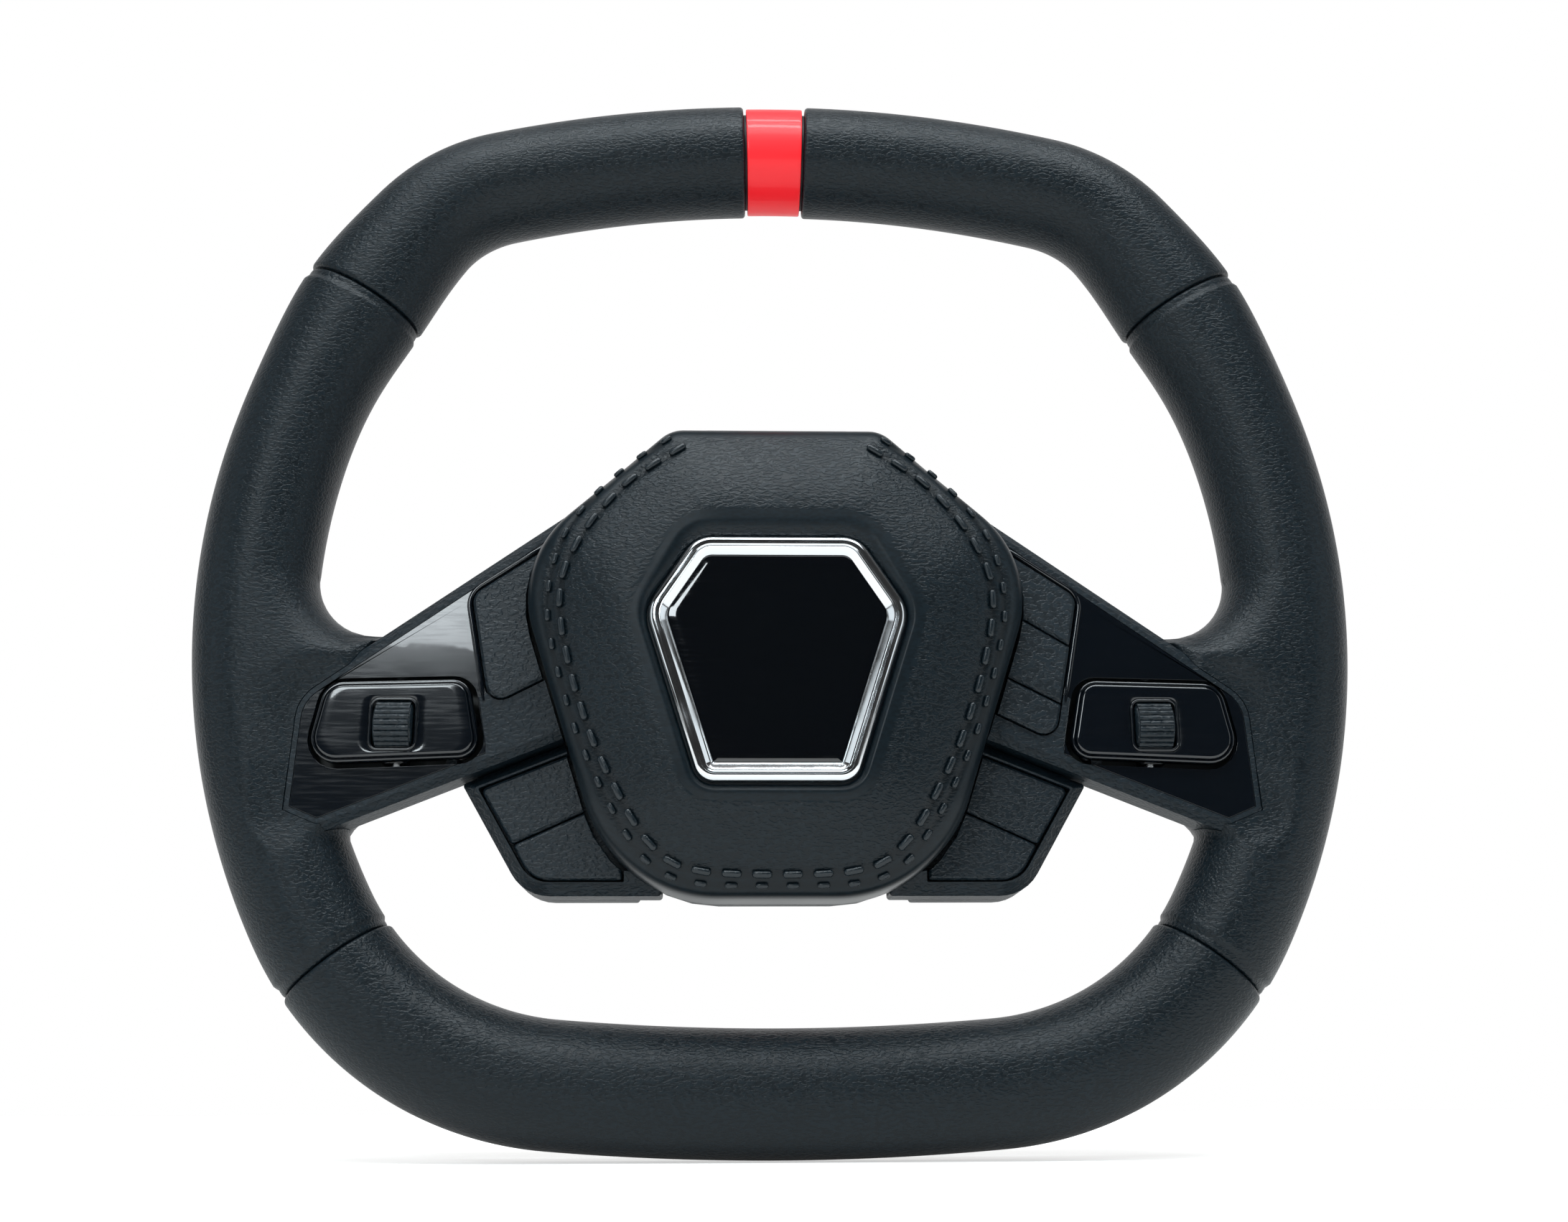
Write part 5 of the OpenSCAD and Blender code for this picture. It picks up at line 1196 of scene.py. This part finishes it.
class WHEEL_OT_rockers(WheelStep):
    """The gloss rockers with their raised panels and framed windows, and the pins that they tilt on"""
    bl_idname = "wheel.rockers"
    bl_label = "Rockers"
    # Inset from the opening in the spoke, and height over the spoke's face
    RIM = [(1.5, -1.5), (1.5, 1.95), (1.58, 2.2), (1.75, 2.34), (2.0, 2.4), (2.22, 2.4), (2.32, 2.3),
           (2.38, 2.05), (2.46, 1.95), (2.54, 2.05), (2.6, 2.35), (2.72, 2.65), (2.92, 2.85), (3.15, 2.95),
           (3.4, 3.0)]
    # Distance out from the window's edge, and height over the spoke's face; the wall widens with the roller
    FRAME = [(1.3, 3.0), (1.22, 2.95), (1.16, 2.8), (1.08, 2.8), (1.0, 3.0), (0.88, 3.2), (0.68, 3.3),
             (0.38, 3.26), (0.18, 3.05), (0.1, 2.7), (0.55, 2.0), (1.1, 1.0), (1.6, 0.0), (1.6, -1.5)]
    WINDOW, WINDOW_R = (5.95, 6.8), 1.8
    # Middle height and half height of the two lugs that hold the pins
    LUGS = ((-8.4, 1.4), (-28.1, 1.1))
    # The pins' place and bore, and a lug's half width
    PIN_Y, PIN_BORE_R, LUG_HALF = -8.0, 1.62, 3.5

    def window(self, grow):
        w, h = self.WINDOW
        x, z = ROLLER_AT
        corners = [(x - w, z - h), (x + w, z - h), (x + w, z + h), (x - w, z + h)]
        return outline(corners, [self.WINDOW_R] * 4, -grow, 8, 6)

    def cap(self):
        rings = [level(outline(ROCKER_C, ROCKER_R, d, 8, 6), FACE_Y - h) for d, h in self.RIM]
        inner, outer = rings[-1], level(self.window(self.FRAME[0][0]), FACE_Y - self.FRAME[0][1])
        for t in (0.2, 0.4, 0.6, 0.8):
            rings.append([tuple(a + (b - a) * t for a, b in zip(p, q)) for p, q in zip(inner, outer)])
        rings += [level(self.window(g), FACE_Y - h) for g, h in self.FRAME]
        return tube(rings, closed=True)

    def lug(self, z, half):
        """A plate across the pin, bored for it."""
        x, w, n = ROLLER_AT[0], self.LUG_HALF, 24
        wall = [(x + w, -5.4), (x - w, -5.4), (x - w, FACE_Y + 1.6), (x + w, FACE_Y + 1.6)]
        edge = [ray_out(wall, 360 * i / n, (x, self.PIN_Y)) for i in range(n)]
        hole = [(x + self.PIN_BORE_R * cos(360 * i / n), self.PIN_Y + self.PIN_BORE_R * sin(360 * i / n))
                for i in range(n)]
        return tube([[(p[0], p[1] - Y_REF, z + h) for p in ring]
                     for ring, h in ((edge, -half), (edge, half), (hole, half), (hole, -half))], closed=True)

    def execute(self, context):
        part = joined(self.cap(), *[self.lug(z, half) for z, half in self.LUGS])
        for side, k in SIDES:
            node = "rocker_" + side
            rocker = mesh_object(node + "_cap", *(mirrored(part) if k < 0 else part))
            shade(rocker.data, 40)
            dress(rocker, "piano_black_acrylic", body_name(node), [node], "gloss_black")
        paint("black_oxide_steel", "roller_axle_left", "roller_axle_right")
        paint("ground_steel", "rocker_pins")
        return {"FINISHED"}


class WHEEL_OT_rollers(WheelStep):
    """The ridged thumb rollers"""
    bl_idname = "wheel.rollers"
    bl_label = "Thumb Rollers"
    # Points round the core, its bore, its ends' chamfer, its depth under the ridges' tops, a ridge's radius
    RING, BORE_R, CHAMFER, CORE_UNDER, RIDGE_R = 64, 1.3, 0.6, 0.8, 0.95

    def execute(self, context):
        tree = ridge_tree()
        skin = "soft_touch_keys"
        for side, k in SIDES:
            node = "roller_" + side
            x, z = k * ROLLER_AT[0], ROLLER_AT[1]
            low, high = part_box(node)
            half, radius = (high.x - low.x) / 2 / MM, (high.z - low.z) / 2 / MM
            core_r = radius - self.CORE_UNDER
            profile = [(self.BORE_R, -half), (core_r - self.CHAMFER, -half), (core_r, self.CHAMFER - half),
                       (core_r, half - self.CHAMFER), (core_r - self.CHAMFER, half), (self.BORE_R, half)]
            turns = [360 * i / self.RING for i in range(self.RING)]
            rings = [[(x + a, ROLLER_Y - Y_REF + r * sin(t), z + r * cos(t)) for t in turns]
                     for r, a in profile]
            core = mesh_object(node + "_wheel", *tube(rings, closed=True))
            run_tree(core, tree, {"Count": sizes().ridge_count, "Radius": (radius - self.RIDGE_R) * MM,
                                  "Ridge Radius": self.RIDGE_R * MM * 0.98,
                                  "Ridge Length": 2 * (half - self.CHAMFER) * MM,
                                  "Centre": Vector((x, ROLLER_Y - Y_REF, z)) * MM,
                                  "Turn": (0, math.radians(90), 0), "Material": made_material(skin)})
            shade(core.data, 60)
            dress(core, skin, body_name(node), [node], "roller_plastic")
        return {"FINISHED"}


class WHEEL_OT_spoke_keys(WheelStep):
    """The keys beside the horn pad"""
    bl_idname = "wheel.spoke_keys"
    bl_label = "Spoke Keys"

    def execute(self, context):
        for node in ("large_button_left", "button_right_upper", "button_right_middle", "button_right_lower"):
            moulded(node, node + "_cap", "soft_touch_keys", "key_plastic", sizes().key_round, 4)
        return {"FINISHED"}


class WHEEL_OT_wings(WheelStep):
    """The lower switch housings and their keys"""
    bl_idname = "wheel.wings"
    bl_label = "Lower Switches"
    # The part of a housing that runs on behind the horn pad: its outer and upper limits, how far in it goes,
    # and the foremost that it comes
    TUCK_X, TUCK_Z, TUCK_IN, TUCK_FRONT = 43.5, -55, 7.0, -36.5

    def execute(self, context):
        for side, _ in SIDES:
            node = "wing_housing_" + side
            moulded(node, node + "_shell", "abs_etched_grain", "frame_plastic", sizes().edge_round * 1.6, 3,
                    self.run_behind)
            for node in ("wing_button_" + side + "_upper", "wing_button_" + side + "_lower"):
                moulded(node, node + "_cap", "soft_touch_keys", "key_plastic", sizes().key_round, 4)
        return {"FINISHED"}

    def run_behind(self, x, y, z):
        """The housing's inner end runs on behind the horn pad, sloping back under its skin."""
        if abs(x) < self.TUCK_X and z < self.TUCK_Z:
            return x - math.copysign(self.TUCK_IN, x), max(y, self.TUCK_FRONT), z
        return x, y, z


class WHEEL_OT_horn_pad(WheelStep):
    """The crowned horn pad with its two stitch channels and the recess for the badge place"""
    bl_idname = "wheel.horn_pad"
    bl_label = "Horn Pad"
    SPOKES, FIELD = 480, 22
    # Distances in from the edge where the skin has rings of points, before FIELD even ones to the recess
    EDGE = [0.0, 0.05, 0.13, 0.25, 0.4, 0.65, 1.0, 1.4, 1.9, 2.5] + [2.5 + 0.62 * k for k in range(1, 20)]
    # The recess's wall rolls down from its lip in these shares; its floor under the badge ring
    ROLL, FLOOR_Y = (0.12, 0.25, 0.4, 0.55, 0.7, 0.82, 0.92, 1.0), RECESS_Y + 0.4
    # Share of the edge's outline and place of the rings that close the pad from behind
    BACK = ((1.0, -15.0), (1.0, PAD_BACK_Y + 0.4), (0.995, PAD_BACK_Y), (0.94, PAD_BACK_Y), (0.94, -21.5),
            (0.88, -26.5), (0.02, -26.8))
    # The posts on the guide bolts: bore, outside, back end, foot in the pad, and the bore's depth
    POSTS_AT = ((38, 36), (30, -40))
    POST = [(3.1, -20.2), (3.1, -9.2), (7.5, -9.2), (7.5, -27.2), (0.01, -27.2), (0.01, -20.2)]
    # The field about the recess starts this far in from the edge
    FIELD_FROM = 25
    # How the bare parts fade out: past the outer row, between the rows, and round the recess's lip
    EDGE_FADE, BETWEEN, BETWEEN_FADE, LIP_BARE, LIP_FADE = 1.5, 1.6, 3.4, 3.2, 0.8
    # Half widths of the painted shade in the two channels, and its depth
    SHADE_WIDE, SHADE_DEEP = (1.3, 1.1), 0.8

    def shrunk(self, points, k, y):
        """An outline drawn in to k times its size about the pad's centre, at y."""
        return [(p[0] * k, y - Y_REF, (p[1] - PAD_CENTRE[1]) * k + PAD_CENTRE[1]) for p in points]

    def execute(self, context):
        angles = [360 * i / self.SPOKES for i in range(self.SPOKES)]
        edge, mouth, foot = ([ray_out(shape, a) for a in angles] for shape in (
            PAD_EDGE.tolist(), RECESS_LIP, outline(BADGE_C, BADGE_R, -0.45, 16)))
        rim, last = self.EDGE, self.EDGE[-1]
        xz = []
        for k in range(len(rim) + self.FIELD):
            for a, b in zip(edge, mouth):
                reach = np.linalg.norm(b - a)
                far = rim[k] if k < len(rim) else last + (reach - last) * (k - len(rim) + 1) / self.FIELD
                xz.append(a + (b - a) * far / reach)
        y = pad_levels(np.array(xz))
        skin = [(p[0], q - Y_REF, p[1]) for p, q in zip(xz, y)]
        rings = [skin[i:i + self.SPOKES] for i in range(0, len(skin), self.SPOKES)]
        top = rings[-1]
        for t in self.ROLL:
            out, down = sin(90 * t) ** 1.2, 1 - cos(90 * t)
            rings.append([(a[0] + (b[0] - a[0]) * out, c[1] + (self.FLOOR_Y - Y_REF - c[1]) * down,
                           a[1] + (b[1] - a[1]) * out) for a, b, c in zip(mouth, foot, top)])
        rings += [self.shrunk(foot, k, self.FLOOR_Y) for k in (0.75, 0.025)]
        behind = [self.shrunk(edge, k, y) for k, y in reversed(self.BACK)]
        posts = [turned(self.POST, (k * x, z), 32) for x, z in self.POSTS_AT for k in (-1, 1)]
        pad = mesh_object("horn_pad_skin", *joined(tube(behind + rings), *posts))
        self.mark(pad.data)
        shade(pad.data, 60)
        dress(pad, "pad_leather_grain", "horn", ["horn_pad"], "moulded_grip")
        return {"FINISHED"}

    def mark(self, mesh):
        """Where the skin is bare of grain, and where a channel's painted shade darkens it."""
        co = points_of(mesh) / MM
        xz, front = co[:, (0, 2)], co[:, 1] + Y_REF
        from_edge = gap_to(xz, PAD_EDGE, True)
        field = from_edge > self.FIELD_FROM
        inner, outer = (gap_to(xz, row) for row in ROWS)
        edge_gap = gap_to(ROWS[1], PAD_EDGE, True).mean()
        bare = np.maximum.reduce([
            np.clip((edge_gap + self.EDGE_FADE - from_edge) / self.EDGE_FADE, 0, 1),
            np.clip(self.BETWEEN - (inner + outer) / self.BETWEEN_FADE, 0, 1),
            np.clip((self.LIP_BARE - gap_to(xz, RECESS_LIP, True)) / self.LIP_FADE, 0, 1) * field,
            field & (front > RECESS_Y - 0.2)])
        # Painted shade along the two stitch channels, which darkens the skin's tone
        channel = np.maximum(*(np.exp(-(gap / wide) ** 2) for gap, wide in
                               zip((inner, outer), self.SHADE_WIDE))) * self.SHADE_DEEP
        for name, value in zip(MARKS, (bare, channel)):
            mark = mesh.attributes.new(name, "FLOAT", "POINT")
            mark.data.foreach_set("value", value.astype(np.float32))


class WHEEL_OT_pad_stitches(WheelStep):
    """The two rows of moulded stitches round the horn pad"""
    bl_idname = "wheel.pad_stitches"
    bl_label = "Pad Stitches"
    # An outer stitch's width and any stitch's height, as shares; how far the rows' middles stand proud
    OUTER_WIDE, TALL, PROUD = 0.85, 0.75, (0.25, 0.2)

    def execute(self, context):
        tree = stitch_tree()
        s, thread = sizes(), "polyurethane_stitch"
        for name, row, long, wide, proud in zip(("inner", "outer"), ROWS, (s.stitch_long, s.stitch_short),
                                                (s.stitch_wide, s.stitch_wide * self.OUTER_WIDE), self.PROUD):
            slope = [(pad_levels(row + d, False) - pad_levels(row - d, False)) / 0.6
                     for d in (np.array([0.3, 0.0]), np.array([0.0, 0.3]))]
            up = np.stack([slope[0], -np.ones(len(row)), slope[1]], 1)
            up /= np.linalg.norm(up, axis=1)[:, None]
            place = np.stack([row[:, 0], pad_levels(row, False) - Y_REF, row[:, 1]], 1) + up * proud
            mesh = bpy.data.meshes.new("stitches_" + name)
            mesh.from_pydata((place * MM).tolist(), [(i, i + 1) for i in range(len(row) - 1)], [])
            mark = mesh.attributes.new("up", "FLOAT_VECTOR", "POINT")
            mark.data.foreach_set("vector", up.astype(np.float32).ravel())
            line = new_object("stitches_" + name, mesh)
            run_tree(line, tree, {"Spacing": s.stitch_step, "Length": long, "Width": wide,
                                  "Height": wide * self.TALL, "Material": made_material(thread)})
            dress(line, thread, "horn", slot="moulded_grip")
        return {"FINISHED"}


class WHEEL_OT_badge_place(WheelStep):
    """The bright ring with its two fine grooves, and the bare gloss face inside it"""
    bl_idname = "wheel.badge_place"
    bl_label = "Badge Place"
    # Inset from the badge place's outline, and height over the recess's floor
    RING = [(0.0, 0.0), (0.0, 1.5), (0.12, 2.1), (0.45, 2.7), (0.95, 3.15), (1.5, 3.4), (2.1, 3.4),
            (2.25, 3.15), (2.45, 3.15), (2.6, 3.34), (3.0, 3.2), (3.12, 2.95), (3.3, 2.95), (3.42, 3.0),
            (5.35, 1.75), (5.5, 1.5), (5.5, 0.0)]
    FACE = [(5.55, 0.0), (5.55, 1.3), (5.65, 1.5), (5.9, 1.6), (9.0, 1.6)]

    def execute(self, context):
        for node, name, profile, closed, sharp, finish, slot in (
                ("badge_ring", "badge_ring_trim", self.RING, True, 28, "chrome_plated_abs", "bright_trim"),
                ("badge_plate", "badge_face", self.FACE, False, 40, "badge_gloss_face", "gloss_black")):
            piece = mesh_object(name, *tube([level(outline(BADGE_C, BADGE_R, d, 14), RECESS_Y - y)
                                             for d, y in profile], closed))
            shade(piece.data, sharp)
            dress(piece, finish, body_name(node), [node], slot)
        return {"FINISHED"}


class WHEEL_OT_rear_cover(WheelStep):
    """The rear cover and the screws of the shells"""
    bl_idname = "wheel.rear_cover"
    bl_label = "Rear Cover"
    # How far the cover's lower edge is drawn up, where that starts and its run, and the heights it is between
    TUCK_UP, TUCK_FROM, TUCK_RUN, TUCK_Z = 6.0, 80, 12, (-45, -20)

    def execute(self, context):
        moulded("rear_cover", "rear_cover_shell", "abs_etched_grain", "cover_plastic", sizes().edge_round * 2,
                moved=self.tuck)
        for node in ("cover_screws", "frame_screws"):
            moulded(node, node + "_steel", "black_oxide_steel", "black_screw", 0.0002)
        return {"FINISHED"}

    def tuck(self, x, y, z):
        """The cover's lower edge along a spoke is drawn up behind the spoke's shell."""
        if self.TUCK_Z[0] < z < self.TUCK_Z[1]:
            z += self.TUCK_UP * smooth((abs(x) - self.TUCK_FROM) / self.TUCK_RUN)
        return x, y, z


class WHEEL_OT_quick_release(WheelStep):
    """The splined socket, its bolts and balls, and the knurled release collar"""
    bl_idname = "wheel.quick_release"
    bl_label = "Quick Release"
    # The collar's bore, the wide end of the cam that frees the balls, and the pocket for the spring
    BORE_R, CAM_R, POCKET_R = 22.06, 26.39, 26.5
    # The turned grooves' number, pitch and depth, and the moulded ridges' radius and length
    GROOVES, GROOVE_STEP, GROOVE_DEEP, RIDGE_R, RIDGE_LONG = 4, 2.6, 0.5, 0.98, 7.4

    def execute(self, context):
        moulded("hub_socket", "hub_socket_turned", "clear_anodised_aluminium", "hub_alloy", 0.00018)
        moulded("hub_bolts", "hub_bolts_steel", "black_oxide_steel", "black_screw", 0.00025)
        paint("bearing_steel", *[f"lock_ball_{i}" for i in range(1, 7)])
        paint("spring_wire", "retaining_ring")
        sprung("collar_spring", "collar_spring_coil")
        self.collar()
        return {"FINISHED"}

    def collar(self):
        low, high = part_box("release_collar")
        y0, y1, r = low.y / MM + Y_REF, high.y / MM + Y_REF, high.x / MM
        body = r - 2
        profile = [(self.POCKET_R, y0 + 0.3), (self.POCKET_R + 0.3, y0), (r - 3, y0), (body - 0.2, y0 + 0.5),
                   (body, y0 + 1.2)]
        for k in range(self.GROOVES):
            y, deep = y0 + 4.5 + self.GROOVE_STEP * k, body - self.GROOVE_DEEP
            profile += [(body, y), (deep, y + 0.35), (deep, y + 0.75), (body, y + 1.1)]
        profile += [(body, y1 - 11.2), (r - 0.7, y1 - 9.6), (r - 0.7, y1 - 1.6), (r - 1.5, y1 - 0.7),
                    (r - 2.3, y1), (self.CAM_R, y1), (self.BORE_R, y1 - 11.4), (self.BORE_R, y0 + 9),
                    (self.POCKET_R, y0 + 9)]
        red = "red_anodised_aluminium"
        collar = mesh_object("release_collar_turned", *turned(profile, n=144))
        run_tree(collar, ridge_tree(), {
            "Count": sizes().knurl_count, "Radius": (r - 1.0) * MM, "Ridge Radius": self.RIDGE_R * MM,
            "Ridge Length": self.RIDGE_LONG * MM, "Centre": Vector((0, y1 - 5.6 - Y_REF, 0)) * MM,
            "Turn": (math.radians(90), 0, 0), "Material": made_material(red)})
        shade(collar.data, 40)
        dress(collar, red, body_name("release_collar"), ["release_collar"], "collar_alloy")


class WHEEL_OT_inner_parts(WheelStep):
    """The armature, boards, domes, guide bolts and springs inside"""
    bl_idname = "wheel.inner_parts"
    bl_label = "Inner Parts"

    def execute(self, context):
        moulded("armature", "armature_casting", "cast_magnesium", "cast_armature", 0.0004)
        paint("circuit_board", "switch_board_left", "switch_board_right")
        paint("moulded_silicone", "switch_domes")
        paint("ground_steel", "horn_guide_bolts")
        sprung("horn_springs", "horn_spring_coils")
        return {"FINISHED"}


STEPS = (WHEEL_OT_studio, WHEEL_OT_grips, WHEEL_OT_centre_band, WHEEL_OT_spoke_shells, WHEEL_OT_gloss_inserts,
         WHEEL_OT_rockers, WHEEL_OT_rollers, WHEEL_OT_spoke_keys, WHEEL_OT_wings, WHEEL_OT_horn_pad,
         WHEEL_OT_pad_stitches, WHEEL_OT_badge_place, WHEEL_OT_rear_cover, WHEEL_OT_quick_release,
         WHEEL_OT_inner_parts)


class VIEW3D_PT_wheel(bpy.types.Panel):
    """Lists the steps of the build with their sizes and colours"""
    bl_label = "Steering Wheel"
    bl_space_type = "VIEW_3D"
    bl_region_type = "UI"
    bl_category = "Wheel"

    def draw(self, context):
        for step in STEPS:
            self.layout.operator(step.bl_idname)
        for group in (context.scene.wheel_sizes, context.scene.wheel_colours, context.scene.wheel_studio):
            box = self.layout.box()
            for name in type(group).__annotations__:
                box.prop(group, name)


CLASSES = (WheelSizes, WheelColours, WheelStudio) + STEPS + (VIEW3D_PT_wheel,)


def register():
    for cls in CLASSES:
        bpy.utils.register_class(cls)
    bpy.types.Scene.wheel_sizes = PointerProperty(type=WheelSizes)
    bpy.types.Scene.wheel_colours = PointerProperty(type=WheelColours)
    bpy.types.Scene.wheel_studio = PointerProperty(type=WheelStudio)


def unregister():
    for name in ("wheel_studio", "wheel_colours", "wheel_sizes"):
        delattr(bpy.types.Scene, name)
    for cls in reversed(CLASSES):
        bpy.utils.unregister_class(cls)


def main():
    register()
    for step in STEPS:
        group, name = step.bl_idname.split(".")
        getattr(getattr(bpy.ops, group), name)()
    bpy.context.view_layer.update()


if __name__ == "__main__":
    main()
